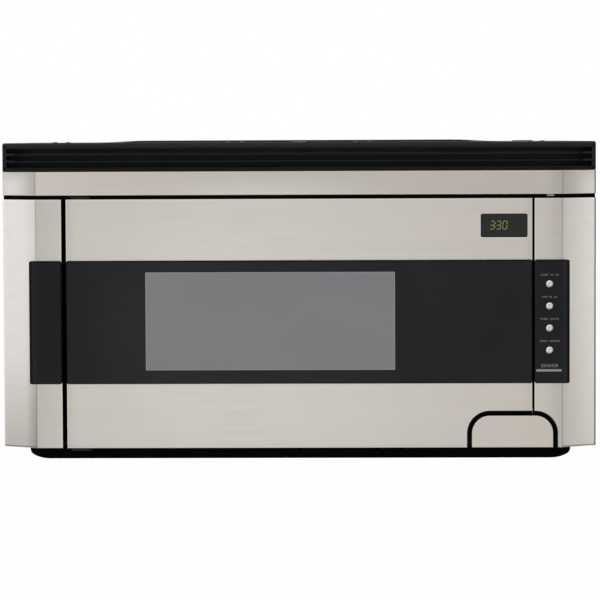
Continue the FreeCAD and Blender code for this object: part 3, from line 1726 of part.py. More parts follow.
def make_door_glass():
    """Dark glass panel across the door."""
    panel = slab(
        "door_glass",
        "XZ",
        (glass_front, face),
        rounded(door_left, door_right, d.glass_bottom, glass_top, d.glass_corner),
    )
    keep(panel, "door_glass")


def make_display_lens():
    """Tinted lens over the clock, set into the skin."""
    fit = d.lens_fit
    lens = slab(
        "lens_front",
        "XZ",
        (face, face + d.skin_gauge),
        rounded(
            display_left + fit,
            display_right - fit,
            d.display_bottom + fit,
            display_top - fit,
            d.display_corner,
        ),
    )
    rim = box(
        "lens_rim",
        (display_left - d.display_corner, display_right + d.display_corner / 2),
        (face + d.skin_gauge, face + d.lens_depth),
        (d.display_bottom - d.display_corner, display_top + d.display_corner),
    )
    keep(union("display_lens", lens, rim), "display_lens")


choke_front = door_back - d.choke_cover_gauge - d.choke_depth
choke_inner = d.choke_channel + d.choke_wall


def choke_box(name, inset, y_span):
    """A block inside the choke's outline, drawn in by an inset."""
    return box(
        name,
        (choke_left + inset, choke_right - inset),
        y_span,
        (d.choke_bottom + inset, d.choke_top - inset),
    )


def make_door_frame():
    """Pressed inner frame: choke channel all round and the window opening."""
    end = door_back - d.choke_cover_gauge
    gauge = d.choke_wall
    blank = choke_box("frame_block", 0 * gauge, (choke_front, end))
    channel_outer = choke_box("channel_outer", gauge, (choke_front + gauge, end + PAST))
    channel_inner = choke_box("channel_inner", choke_inner - gauge, (choke_front + gauge, end + PAST))
    channel = cut("channel_ring", channel_outer, channel_inner)
    centre = choke_box("frame_centre", choke_inner, (choke_front + gauge, end + PAST))
    window = box(
        "frame_window",
        (window_left, window_right),
        (choke_front - PAST, choke_front + gauge + PAST),
        (d.window_bottom, window_top),
    )
    spacers = []
    border = d.screen_border
    for name, z_span in (
        ("low", (d.choke_bottom + choke_inner, d.choke_bottom + choke_inner + border)),
        ("high", (d.choke_top - choke_inner - border, d.choke_top - choke_inner)),
    ):
        span = (window_left, window_right)
        spacers.append(box("frame_spacer_" + name, span, (skin_back, choke_front), z_span))
    keep(union("door_frame", cut("frame_pressed", blank, channel, centre, window), *spacers), "door_frame")


def make_window_screen():
    """Perforated metal screen behind the window."""
    border = d.screen_border
    body = doc.addObject("PartDesign::Body", "window_screen")
    outline = rectangle(
        window_left - border,
        window_right + border,
        d.window_bottom - border,
        window_top + border,
    )
    front = choke_front - d.screen_gauge
    pad(body, "screen_sheet", "XZ", (front, choke_front), [outline])
    pitch_x = d.screen_hole_pitch_x
    pitch_z = d.screen_hole_pitch_z
    columns = int(number(window_right - window_left) // number(pitch_x))
    rows = int(number(d.window_height) // number(pitch_z))
    first_x = (window_left + window_right - (columns - 1) * pitch_x) / 2
    first_z = (d.window_bottom + window_top - (rows - 1) * pitch_z) / 2
    row = [(first_x + column * pitch_x, first_z, d.screen_hole_radius) for column in range(columns)]
    pocket = body.newObject("PartDesign::Pocket", "screen_row")
    pocket.Profile = draw(body, "screen_row_sketch", "XZ", front, row)
    pocket.Type = "ThroughAll"
    pattern = body.newObject("PartDesign::LinearPattern", "screen_rows")
    pattern.Originals = [pocket]
    pattern.Direction = ([f for f in body.Origin.OriginFeatures if f.Role == "Z_Axis"][0], [""])
    bind(pattern, "Length", (rows - 1) * pitch_z)
    pattern.Occurrences = rows
    body.Tip = pattern
    keep(body, "window_screen")


def make_inner_window():
    """Clear sheet over the screen on the oven's side."""
    inset = choke_inner - d.choke_wall + d.lens_fit
    keep(choke_box("inner_window", inset, (door_back - d.choke_cover_gauge, door_back)), "inner_window")


def make_choke_cover():
    """Moulded ring that closes the choke channel."""
    fit = d.lens_fit
    inset = choke_inner - d.choke_wall
    ring = choke_box("choke_ring", 0 * inset, (door_back - d.choke_cover_gauge, door_back))
    hole = choke_box("choke_ring_hole", inset, (door_back - d.choke_cover_gauge - PAST, door_back + PAST))
    keep(cut("choke_cover", ring, hole), "choke_cover")


def make_door_back_cover():
    """Moulded cover of the door's free side, with a display window and the latch's two slots."""
    gauge = d.back_cover_gauge
    back = door_back - d.back_cover_setback
    y_span = (back - gauge, back)
    left = choke_right + d.choke_wall
    right = door_right - d.skin_gauge
    sheet_part = box("cover_sheet", (left, right), y_span, (door_bottom + d.skin_gauge, door_top - d.skin_gauge))
    through = (y_span[0] - PAST, y_span[1] + PAST)
    tools = [
        box("cover_window", (display_left, display_right), through, (d.display_bottom, display_top)),
        box(
            "cover_handle",
            (arch_left, right + PAST),
            through,
            (door_bottom, arch_top),
        ),
    ]
    for name, level in hook_levels.items():
        tools.append(box("cover_slot_" + name, (slot_left, slot_right), through, slot_span(level)))
    ribs = []
    for side, x in (("left", slot_left - gauge), ("right", slot_right)):
        for name, level in hook_levels.items():
            span = slot_span(level)
            rib = (latch_bar_back, y_span[0])
            ribs.append(box("cover_rib_%s_%s" % (side, name), (x, x + gauge), rib, span))
    keep(cut("door_back_cover", union("cover_blank", sheet_part, *ribs), *tools), "door_back_cover")


def make_hinge_bushes():
    """Moulded bushes in the top and bottom returns of the door."""
    depth = d.pin_length + d.hinge_clearance
    bushes = []
    for name, span in (
        ("low", (door_bottom, door_bottom + depth)),
        ("high", (door_top - depth, door_top)),
    ):
        outer = rod("bush_" + name, "Z", d.bush_radius, span, (pin_x, pin_y))
        bore_span = (span[0] - PAST, span[1] + PAST)
        bore = rod("bush_bore_" + name, "Z", d.pin_radius + d.pin_fit, bore_span, (pin_x, pin_y))
        bushes.append(cut("hinge_bush_" + name, outer, bore))
    keep(group("hinge_bushes", *bushes), "hinge_bushes")


def make_door_hinges():
    """Two steel hinge plates on the chassis, each with a pin that stands in the door's bush."""
    x_span = (pin_x - d.hinge_plate_side, pin_x + d.hinge_plate_reach)
    hinges = []
    for name, plate_z, pin_z, back in (
        (
            "low",
            (door_bottom - d.hinge_clearance - d.hinge_plate, door_bottom - d.hinge_clearance),
            (door_bottom - d.hinge_clearance, door_bottom + d.pin_length - d.hinge_clearance),
            pan_front,
        ),
        (
            "high",
            (door_top + d.hinge_clearance, door_top + d.hinge_clearance + d.hinge_plate),
            (door_top - d.pin_length + d.hinge_clearance, door_top + d.hinge_clearance),
            flange,
        ),
    ):
        plate = box("hinge_plate_" + name, x_span, (pin_y - d.hinge_plate_half, back), plate_z)
        pin = rod("hinge_pin_" + name, "Z", d.pin_radius, pin_z, (pin_x, pin_y))
        hinges.append(union("hinge_" + name, plate, pin))
    keep(group("door_hinges", *hinges), "door_hinges")


# ---------------------------------------------------------------- handle and latch

lever_y = face + d.lever_pivot_depth
lever_z = door_bottom + d.lever_pivot_height
latch_bar_front = lever_y + d.lever_arm - d.latch_gauge / 2
latch_bar_back = latch_bar_front + d.latch_gauge
foot_top = lever_z - d.lever_arm_height / 2 - d.lever_play
arm_left = latch_x + d.latch_width / 2 + d.lever_play + d.hook_gauge / 2
arm_right = arm_left + d.lever_arm_width
ear_left = arm_right + d.hook_gauge / 2
ear_right = door_right - d.recess_wall - d.bush_radius - d.lever_ear_width


def make_handle_bezel():
    """Black liner of the handle's recess on the door, with two ears for the lever's rod."""
    gap = d.recess_wall
    right = door_right - d.skin_gauge
    outer = arch_outline(arch_left, arch_right, door_bottom, arch_top, d.arch_corner)
    dish = slab("door_dish", "XZ", (face, recess_back), outer)
    inner = arch_outline(
        arch_left + gap, arch_right - gap, door_bottom - PAST, arch_top - gap, d.arch_corner - gap
    )
    hollow = slab("door_dish_inside", "XZ", (face - PAST, recess_back - gap), inner)
    far = box(
        "door_dish_right",
        (right, arch_right + PAST),
        (face - PAST, recess_back + PAST),
        (door_bottom - PAST, arch_top + PAST),
    )
    play = d.latch_slot_play
    bar_way = box(
        "latch_way",
        (latch_x - d.latch_width / 2 - play, latch_x + d.latch_width / 2 + play),
        (latch_bar_front - play, latch_bar_back + play),
        (arch_top - d.arch_corner, arch_top + PAST),
    )
    shell = cut("door_dish_shell", dish, hollow, far, bar_way)
    ears = []
    bores = []
    for name, x in (("left", ear_left), ("right", ear_right)):
        span = (x, x + d.lever_ear_width)
        ears.append(rod("ear_" + name, "X", d.lever_ear, span, (lever_y, lever_z)))
        arm = (lever_z - d.lever_ear, lever_z + d.lever_ear)
        ears.append(box("ear_arm_" + name, span, (lever_y, recess_back - gap), arm))
        bore_span = (x - PAST, x + d.lever_ear_width + PAST)
        bore_radius = d.lever_rod_radius + d.lever_rod_fit
        bores.append(rod("ear_bore_" + name, "X", bore_radius, bore_span, (lever_y, lever_z)))
    keep(cut("handle_bezel", union("bezel_blank", shell, *ears), *bores), "handle_bezel")


def make_handle_paddle():
    """Steel paddle inside the arch, pulled at its lower edge."""
    gap = d.arch_gap
    outline = arch_outline(
        arch_left + gap, arch_right - gap, door_bottom, arch_top - gap, d.arch_corner - gap
    )
    keep(slab("handle_paddle", "XZ", (face, face + d.skin_gauge), outline), "handle_paddle")


def make_handle_lever():
    """Moulded back of the paddle, with its pivot rod and the arm that pushes the latch down."""
    inset = d.arch_gap + d.lever_inset
    back = face + d.skin_gauge + d.lever_gauge
    outline = arch_outline(
        arch_left + inset,
        arch_right - inset,
        door_bottom + d.lever_inset,
        arch_top - inset,
        d.arch_corner - inset,
    )
    plate = slab("lever_plate", "XZ", (face + d.skin_gauge, back), outline)
    rod_span = (arm_left, ear_right + d.lever_ear_width + d.hook_gauge / 2)
    pivot = rod("lever_rod", "X", d.lever_rod_radius, rod_span, (lever_y, lever_z))
    boss_span = (ear_left + 2 * d.lever_ear_width, ear_right - d.lever_ear_width)
    boss_reach = d.lever_arm_height / 2
    boss = box("lever_boss", boss_span, (back - PAST, lever_y + boss_reach), (lever_z - boss_reach, lever_z + boss_reach))
    arm = box(
        "lever_arm_box",
        (arm_left, arm_right),
        (lever_y, lever_y + d.lever_arm + d.lever_gauge / 2),
        (lever_z - boss_reach, lever_z + boss_reach),
    )
    keep(union("handle_lever", plate, pivot, boss, arm), "handle_lever")


def make_latch_head():
    """Sliding latch bar with a foot under the lever's arm and two upturned hooks."""
    low = foot_top - d.hook_gauge
    width = (latch_x - d.latch_width / 2, latch_x + d.latch_width / 2)
    depth = (latch_bar_front, latch_bar_back)
    parts = [
        box("latch_bar", width, depth, (low, d.latch_top)),
        box("latch_foot", (width[0], arm_right), depth, (low, foot_top)),
    ]
    thick = (latch_x - d.hook_gauge / 2, latch_x + d.hook_gauge / 2)
    tip = pin_y + d.hook_tip
    for name, level in hook_levels.items():
        shank = (level, level + d.hook_depth)
        parts.append(box("hook_" + name, thick, (latch_bar_back - PAST, tip), shank))
        barb = (level + d.hook_depth - PAST, level + d.hook_depth + d.barb_height)
        parts.append(box("barb_" + name, thick, (tip - d.barb_length, tip), barb))
    keep(union("latch_head", *parts), "latch_head")


latch_body_left = slot_left - d.latch_body_wall
latch_body_right = slot_right + d.latch_swing_play + d.latch_body_wall


def make_latch_body():
    """Moulded catch behind the front plate, with a pocket for each hook."""
    wall_gauge = d.latch_body_wall
    low = slot_span(d.lower_hook_height)[0] - wall_gauge
    high = slot_span(d.upper_hook_height)[1] + wall_gauge
    block = box(
        "latch_block",
        (latch_body_left, latch_body_right),
        (chassis, chassis + d.latch_body_depth),
        (low, high),
    )
    pockets = []
    for name, level in hook_levels.items():
        span = slot_span(level)
        x_span = (slot_left, slot_right + d.latch_swing_play)
        deep = (chassis - PAST, chassis + d.latch_body_depth - wall_gauge)
        pockets.append(box("latch_pocket_" + name, x_span, deep, span))
    middle = box(
        "latch_relief",
        (latch_body_left + wall_gauge, latch_body_right + PAST),
        (chassis + wall_gauge, chassis + d.latch_body_depth + PAST),
        (slot_span(d.lower_hook_height)[1] + wall_gauge, slot_span(d.upper_hook_height)[0] - wall_gauge),
    )
    keep(cut("latch_body", block, middle, *pockets), "latch_body")


def make_interlock_switches():
    """Three door switches on the side of the latch body."""
    switches = []
    y_span = (chassis + d.latch_body_wall, chassis + d.latch_body_wall + d.switch_depth)
    x_span = (latch_body_right, latch_body_right + d.switch_width)
    levels = (d.lower_hook_height, d.upper_hook_height, d.upper_hook_height - d.switch_height - d.latch_body_wall)
    for index, level in enumerate(levels):
        z_span = (level, level + d.switch_height)
        switches.append(box("switch_%d" % index, x_span, y_span, z_span))
    keep(group("interlock_switches", *switches), "interlock_switches")


# ---------------------------------------------------------------- key panel behind the door


key_left = door_right - d.key_left_inset
key_right = door_right - d.key_right_inset


def make_key_panel():
    """Moulded key panel on the front plate, hidden by the closed door."""
    front = flange - d.key_depth
    wall_gauge = d.key_wall
    block = box("key_block", (key_left, key_right), (front, flange), (d.key_bottom, d.key_top))
    hollow = box(
        "key_hollow",
        (key_left + wall_gauge, key_right - wall_gauge),
        (front + wall_gauge, flange + PAST),
        (d.key_bottom + wall_gauge, d.key_top - wall_gauge),
    )
    inset = d.module_inset
    window = box(
        "key_window",
        (display_left + inset, display_right - inset),
        (front - PAST, flange + PAST),
        (d.display_bottom + inset, display_top - inset),
    )
    keep(cut("key_panel", block, hollow, window), "key_panel")


def make_key_overlay():
    """Membrane keypad: a thin sheet with raised pads that give under a finger."""
    back = flange - d.key_depth
    front = back - d.overlay_gauge
    margin = d.overlay_margin
    sheet_part = box(
        "overlay_sheet",
        (key_left + margin, key_right - margin),
        (front, back),
        (d.key_bottom + margin, d.display_bottom - margin),
    )
    pads = [sheet_part]
    middle = (key_left + key_right) / 2
    columns = SIZES["key_pad_columns"]
    for row in range(SIZES["key_pad_rows"]):
        for column in range(columns):
            x = middle + (column - (columns - 1) / 2) * d.key_pad_pitch_x
            z = d.key_pad_bottom + row * d.key_pad_pitch_z
            x_span = (x - d.key_pad_width / 2, x + d.key_pad_width / 2)
            z_span = (z - d.key_pad_height / 2, z + d.key_pad_height / 2)
            pads.append(box("pad_%d_%d" % (row, column), x_span, (front - d.key_pad_rise, front), z_span))
    keep(union("key_overlay", *pads), "key_overlay")


def make_display_module():
    """Clock display behind the lens, seated in the key panel's window."""
    inset = d.module_inset
    back = flange - d.key_depth + d.module_depth
    module = box(
        "display_module",
        (display_left + inset, display_right - inset),
        (flange - d.key_depth, back),
        (d.display_bottom + inset, display_top - inset),
    )
    keep(module, "display_module")


# ---------------------------------------------------------------- build and write


def build():
    """Make every sub-part in the order in which it would be assembled."""
    make_wall_mounting_plate()
    make_back_plate()
    make_outer_case()
    make_cord_bush()
    make_front_plate()
    make_base_pan()
    make_grease_filters()
    make_lamp_cover()
    make_lamps()
    make_oven_cavity()
    make_waveguide_cover()
    make_magnetron()
    make_turntable_motor()
    make_turntable_coupling()
    make_roller_support()
    make_rollers()
    make_glass_tray()
    make_blower_housing()
    make_blower_motor()
    make_blower_rotor()
    make_cooling_fan()
    make_cooling_fan_housing()
    make_high_voltage_supply()
    make_circuit_boards()
    make_left_trim()
    make_right_trim()
    make_trim_recess()
    make_top_band()
    make_side_glass("left", -1, left_trim_edge)
    make_side_glass("right", 1, right_trim_edge)
    make_buttons()
    make_vent_grille()
    make_charcoal_filter()
    make_steel_clips()
    make_case_screws()
    make_door_skin()
    make_door_glass()
    make_display_lens()
    make_door_frame()
    make_window_screen()
    make_inner_window()
    make_choke_cover()
    make_door_back_cover()
    make_hinge_bushes()
    make_door_hinges()
    make_handle_bezel()
    make_handle_paddle()
    make_handle_lever()
    make_latch_head()
    make_latch_body()
    make_interlock_switches()
    make_key_panel()
    make_key_overlay()
    make_display_module()


def check():
    """Stop unless every object recomputed and every sub-part is a valid solid."""
    faults = []
    for thing in doc.Objects:
        if "Invalid" in thing.State or "Error" in thing.State:
            faults.append("%s: %s" % (thing.Name, ", ".join(thing.State)))
    for piece in pieces:
        if piece.Shape.isNull() or not piece.Shape.isValid() or not piece.Shape.Solids:
            faults.append("%s has no valid solid" % piece.Label)
    if faults:
        raise RuntimeError("\n".join(faults))


def write():
    """Save each sub-part under its own name."""
    os.makedirs("parts", exist_ok=True)
    for piece in pieces:
        piece.Shape.exportStep(os.path.join("parts", piece.Label + ".step"))
        print("%-24s %3d solid(s) %12.1f mm3" % (piece.Label, len(piece.Shape.Solids), piece.Shape.Volume))
    print("%d sub-parts" % len(pieces))


build()
doc.recompute()
check()
write()
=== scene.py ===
"""Over-the-range microwave oven in brushed steel with a smoked glass band, dressed over its frame.

Metres. +Z is up, the front faces -Y and the wall is at +Y, as in the frame that is loaded first.
"""

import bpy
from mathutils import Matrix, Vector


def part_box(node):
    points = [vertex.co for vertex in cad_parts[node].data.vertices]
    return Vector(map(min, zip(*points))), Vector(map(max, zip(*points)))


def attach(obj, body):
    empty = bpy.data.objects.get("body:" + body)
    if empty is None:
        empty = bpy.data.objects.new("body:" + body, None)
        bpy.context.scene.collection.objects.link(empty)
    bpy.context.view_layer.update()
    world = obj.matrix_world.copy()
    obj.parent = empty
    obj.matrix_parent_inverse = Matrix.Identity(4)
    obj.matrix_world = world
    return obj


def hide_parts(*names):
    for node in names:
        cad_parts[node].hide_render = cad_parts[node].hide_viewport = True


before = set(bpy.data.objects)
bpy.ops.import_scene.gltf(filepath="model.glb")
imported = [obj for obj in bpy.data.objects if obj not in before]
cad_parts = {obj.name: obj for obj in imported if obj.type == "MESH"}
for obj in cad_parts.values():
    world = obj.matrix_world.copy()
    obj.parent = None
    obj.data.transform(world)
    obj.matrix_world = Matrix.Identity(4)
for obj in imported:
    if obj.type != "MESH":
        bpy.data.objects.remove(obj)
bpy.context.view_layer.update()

import logging
import math
from dataclasses import dataclass, field, replace
from enum import Enum
from functools import cached_property
from typing import Iterable, Sequence

import bmesh
import bpy
import numpy as np
from mathutils import Matrix, Vector

log = logging.getLogger("microwave")

Colour = tuple[float, ...]
Ramp = tuple[float, float, float, float]  # low, high, level at low, level at high
Piece = bpy.types.Object
Socket = bpy.types.NodeSocket

MM = 0.001
ON_AXIS = 1e-5
SUFFIX = "_finish"
WHITE = (1.0, 1.0, 1.0)
FRONT_FACING = -0.3
CAPITAL_SHARE = 0.69


class Body(Enum):
    """The rigid bodies of the frame that the dressed pieces ride on."""

    CHASSIS = "chassis"
    DOOR = "door"
    HANDLE = "handle"
    TURNTABLE = "turntable"
    LAMP_DOOR = "lamp_door"
    LEFT_FILTER = "left_filter"
    RIGHT_FILTER = "right_filter"
    BUTTON_1 = "button_body_1"
    BUTTON_2 = "button_body_2"
    BUTTON_3 = "button_body_3"
    BUTTON_4 = "button_body_4"


class Axis(Enum):
    """Directions of the frame."""

    X = 0
    Y = 1
    Z = 2


# Shader building


class Level:
    """A value in a node tree; arithmetic on it adds nodes to the tree."""

    def __init__(self, board: "NodeBoard", socket: Socket) -> None:
        """Hold the socket that gives the value."""
        self.board, self.socket = board, socket

    def __add__(self, other: "Level | float") -> "Level":
        """Sum."""
        return self.board.maths("ADD", self, other)

    def __sub__(self, other: "Level | float") -> "Level":
        """Difference."""
        return self.board.maths("SUBTRACT", self, other)

    def __rsub__(self, other: float) -> "Level":
        """Difference from a plain number."""
        return self.board.maths("SUBTRACT", other, self)

    def __mul__(self, other: "Level | float") -> "Level":
        """Product."""
        return self.board.maths("MULTIPLY", self, other)

    def __abs__(self) -> "Level":
        """Size without sign."""
        return self.board.maths("ABSOLUTE", self)


class NodeBoard:
    """The node tree of a material or of the world, with short calls for the nodes in use."""

    def __init__(self, owner: bpy.types.ID, output: str = "ShaderNodeOutputMaterial") -> None:
        """Empty the owner's tree and give it an output."""
        owner.use_nodes = True
        self.owner, self.tree = owner, owner.node_tree
        self.tree.nodes.clear()
        self.output = self.node(output)

    @cached_property
    def shader(self) -> bpy.types.Node:
        """The Principled shader, joined to the output."""
        shader = self.node("ShaderNodeBsdfPrincipled")
        self.feed(self.output, "Surface", shader.outputs[0])
        return shader

    @cached_property
    def coords(self) -> Socket:
        """The Object coordinates."""
        return self.node("ShaderNodeTexCoord").outputs["Object"]

    def node(self, kind: str, **sockets: object) -> bpy.types.Node:
        """Add one node.

        Args:
            kind: the node's type name.
            sockets: values or sources, keyed by input name, or by i and a number; a name with a
                leading underscore sets a property of the node instead.

        Returns:
            The new node.
        """
        made = self.tree.nodes.new(kind)
        for name in sorted(sockets, key=lambda name: not name.startswith("_")):
            if name.startswith("_"):
                setattr(made, name[1:], sockets[name])
            else:
                self.feed(made, name.replace("__", " "), sockets[name])
        return made

    def feed(self, node: bpy.types.Node, name: str, value: object) -> None:
        """Set an input of a node, by value or by link."""
        socket = node.inputs[int(name[1:]) if name[1:].isdigit() else name]
        value = value.socket if isinstance(value, Level) else value
        if isinstance(value, Socket):
            self.tree.links.new(value, socket)
        elif hasattr(socket.default_value, "__len__"):
            values = tuple(value)
            socket.default_value = values + (1.0,) * (len(socket.default_value) - len(values))
        else:
            socket.default_value = value

    def set(self, **sockets: object) -> None:
        """Set inputs of the Principled shader."""
        for name, value in sockets.items():
            self.feed(self.shader, name.replace("__", " "), value)

    def place(self, scale: Sequence[float]) -> Socket:
        """Object coordinates multiplied by a scale."""
        return self.node("ShaderNodeMapping", Vector=self.coords, Scale=scale).outputs[0]

    def noise(self, scale: Sequence[float] | float, detail: float = 2.0, roughness: float = 0.5) -> Level:
        """Noise over Object coordinates, by one scale or by one for each axis."""
        scale = (scale,) * 3 if isinstance(scale, float) else scale
        made = self.node(
            "ShaderNodeTexNoise", Vector=self.place(scale), Scale=1.0, Detail=detail, Roughness=roughness
        )
        return Level(self, made.outputs[0])

    def span(self, value: Level, low: float, high: float, start: float, end: float) -> Level:
        """Map a value from low..high to start..end, clamped."""
        made = self.node(
            "ShaderNodeMapRange", Value=value, From__Min=low, From__Max=high, To__Min=start, To__Max=end
        )
        return Level(self, made.outputs[0])

    def swing(self, noise: Level, reach: float, amount: float) -> Level:
        """Map a noise within a reach of its middle to an amount either way of nought."""
        return self.span(noise, 0.5 - reach, 0.5 + reach, -amount, amount)

    def maths(self, operation: str, a: Level | float, b: Level | float = 0.0) -> Level:
        """One arithmetic operation on two values."""
        return Level(self, self.node("ShaderNodeMath", _operation=operation, i0=a, i1=b).outputs[0])

    def blend(self, factor: object, a: object, b: object, mode: str = "MIX") -> Level:
        """Mix two colours."""
        made = self.node("ShaderNodeMix", _data_type="RGBA", _blend_type=mode, i0=factor, i6=a, i7=b)
        return Level(self, made.outputs[2])

    def tint(self, colour: object, level: Level) -> Level:
        """A colour multiplied by a level."""
        grey = self.node("ShaderNodeCombineColor", Red=level, Green=level, Blue=level)
        return self.blend(1.0, grey.outputs[0], colour, "MULTIPLY")

    def drift(self, noise: Level, colour: Colour, share: float) -> Level:
        """A colour that a noise takes down to a share of itself."""
        darker = tuple(level * share for level in colour)
        return self.blend(self.span(noise, 0.35, 0.65, 0.0, 1.0), darker, colour)

    def bump(self, height: object, depth: float, strength: float = 1.0) -> None:
        """Give the shader a bump from a height in 0..1 and a depth in metres."""
        made = self.node("ShaderNodeBump", Height=height, Strength=strength, Distance=depth)
        self.feed(self.shader, "Normal", made.outputs[0])

    def axes(self) -> tuple[Level, ...]:
        """The X, Y and Z of the Object coordinates."""
        made = self.node("ShaderNodeSeparateXYZ", Vector=self.coords)
        return tuple(Level(self, socket) for socket in made.outputs)

    def mix(self, factor: object, first: Socket, second: Socket) -> Socket:
        """Mix two shaders."""
        return self.node("ShaderNodeMixShader", i0=factor, i1=first, i2=second).outputs[0]


def linear(*levels: float) -> Colour:
    """Colour levels of 0..255, as they look on a screen, turned into shader values."""
    values = np.array(levels) / 255.0
    return tuple(np.where(values <= 0.04045, values / 12.92, ((values + 0.055) / 1.055) ** 2.4).tolist())


# Finishes


@dataclass(frozen=True)
class Finish:
    """A surface: its name is the first part of its material's name."""

    name: str
    colour: Colour = WHITE
    roughness: float = 0.4
    reflection: float = 0.3

    def paint(self, board: NodeBoard) -> None:
        """Fill in the material's nodes."""
        raise NotImplementedError

    def coat(self, board: NodeBoard, colour: object, gloss: object) -> None:
        """Set the shader's colour, roughness and reflection."""
        board.set(Base__Color=colour, Roughness=gloss, Specular__IOR__Level=self.reflection)

    def material(self) -> bpy.types.Material:
        """The finish's material, made on first use."""
        title = self.name + SUFFIX
        known = bpy.data.materials.get(title)
        if known is not None:
            return known
        board = NodeBoard(bpy.data.materials.new(title))
        self.paint(board)
        return board.owner


@dataclass(frozen=True)
class BrushedSteel(Finish):
    """Steel with a fine grain along one direction, with a painted highlight inside its borders."""

    colour: Colour = linear(190, 184, 176)
    roughness: float = 0.36
    grain: Axis = Axis.X
    sky: float = 0.0
    borders: tuple[float, ...] = ()
    # Painted highlight just inside the borders, and painted shade towards the foot and the ends.
    border_highlight: Ramp = (1.6 * MM, 2.3 * MM, 1.1, 1.0)
    lit_foot: bool = False
    low_painted_shade: float = 0.0
    end_painted_shade: float = 0.0

    def paint(self, board: NodeBoard) -> None:
        """Streaks at three widths shade the colour and the gloss, and the finest one is a bump."""
        broad = board.noise(self.streaks(0.009, 0.5), 3.0, 0.55)
        fine = board.noise(self.streaks(0.0011, 0.05), 2.0, 0.6)
        hair = board.noise(self.streaks(0.0003, 0.012), 1.0, 0.5)
        cloud = board.noise((5.0, 5.0, 7.0), 1.0, 0.4)
        shade = board.swing(broad, 0.2, 0.016) + 1.0 + board.swing(fine, 0.25, 0.035)
        shade += board.swing(cloud, 0.2, 0.012)
        # Painted light and shade, by place and by direction, multiply the shade of the streaks.
        for light in self.lights(board):
            shade *= light
        gloss = board.swing(fine, 0.2, 0.05) + self.roughness
        board.set(Base__Color=board.tint(self.colour, shade), Metallic=1.0, Roughness=gloss)
        board.bump(hair + fine, 0.000012, 0.35)

    def streaks(self, width: float, length: float) -> list[float]:
        """Noise scale for streaks of a width and a length in metres."""
        scale = [1 / width] * 3
        scale[self.grain.value] = 1 / length
        return scale

    def lights(self, board: NodeBoard) -> list[Level]:
        """The factors of painted light and shade on the steel, by place or by direction."""
        found = [self.sky_light(board)] if self.sky > 0 else []
        return found + ([self.border_light(board)] if self.borders else [])

    def border_light(self, board: NodeBoard) -> Level:
        """Painted highlight: a bright hair line just inside the sheet's borders; and painted shade at its
        foot and ends.
        """
        left, right, low, high = self.borders
        x, _, z = board.axes()
        ends = board.maths("MINIMUM", x - left, right - x)
        nearest = board.maths("MINIMUM", ends, high - z)
        if self.lit_foot:
            nearest = board.maths("MINIMUM", nearest, z - low)
        foot = board.span(z - low, 0.0, 12.0 * MM, 1.0 - self.low_painted_shade, 1.0)
        sides = board.span(ends, 2.0 * MM, 12.0 * MM, 1.0 - self.end_painted_shade, 1.0)
        return board.span(nearest, *self.border_highlight) * (foot * sides)

    def sky_light(self, board: NodeBoard) -> Level:
        """Painted sky reflection: edges that look up or left are lighter and those that look down or right
        are darker.
        """
        normal = board.node("ShaderNodeNewGeometry").outputs["True Normal"]
        lean = board.node("ShaderNodeVectorMath", _operation="DOT_PRODUCT", i0=normal, i1=(-0.45, 0.0, 0.9))
        return board.span(lean.outputs["Value"], -0.8, 0.8, 1.0 - self.sky, 1.0 + self.sky)


@dataclass(frozen=True)
class FoldedSteel(BrushedSteel):
    """Brushed steel folded back at each side, with painted light and shade on its wings and its flat.

    The ramps go over the distance past the bend, the height, or the distance from the edge or foot; all but
    the hair line paint light and shade.
    """

    bend_at: float = 0.0
    edge_at: float = 0.0
    foot_at: float = -1.0
    left_flat_shade: float = 0.0
    left_painted_light: float = 0.0
    hair_line: Ramp = (0.5 * MM, 1.0 * MM, 0.74, 1.0)
    left_wing: Ramp = (0.0, 15.0 * MM, 1.0, 0.0)
    left_wing_rise: Ramp = (0.08, 0.28, 0.4, 0.14)
    left_wing_drop: Ramp = (0.02, 0.13, 0.24, 0.0)
    right_wing: Ramp = (0.0, 40.0 * MM, 0.2, -0.065)
    right_flat_shade: Ramp = (-22.0 * MM, 0.0, 0.0, 0.17)
    outer_edge_shade: Ramp = (-2.6 * MM, -1.8 * MM, 1.0, 0.3)
    foot_shade_line: Ramp = (1.9 * MM, 2.3 * MM, 0.5, 1.0)

    def lights(self, board: NodeBoard) -> list[Level]:
        """The painted light and shade of the flat steel, after those of the bend."""
        return [self.bend(board), *super().lights(board)]

    def bend(self, board: NodeBoard) -> Level:
        """A hair line on each bend, painted light and shade beside it and on the flats, and a painted shade
        line at the outer edge and the foot.
        """
        across, _, up = board.axes()
        past = abs(across) - self.bend_at
        right = board.maths("GREATER_THAN", across, 0.0)
        wing = board.maths("GREATER_THAN", past, 0.0)
        left, flat = 1.0 - right, 1.0 - wing
        left_flat_shade = (-33.0 * MM, 0.0, self.left_flat_shade * 0.3, self.left_flat_shade)
        near = board.span(past, *self.left_wing) * board.span(up, *self.left_wing_rise)
        fade = near * (wing * left)
        fade += board.span(past, *self.right_wing) * (wing * right)
        fade += board.span(past, *left_flat_shade) * (flat * left)
        fade += board.span(past, *self.right_flat_shade) * (flat * right)
        drop = board.span(up, *self.left_wing_drop) * (wing * left)
        lift = board.span(across, -0.3, -0.04, self.left_painted_light, 0.0) * flat
        edge = board.span(across - self.edge_at, *self.outer_edge_shade)
        foot = board.maths("MAXIMUM", board.span(up - self.foot_at, *self.foot_shade_line), flat)
        side = (1.0 - fade) * edge * (1.0 - drop) * (lift + 1.0)
        return board.span(abs(past), *self.hair_line) * (side * foot)


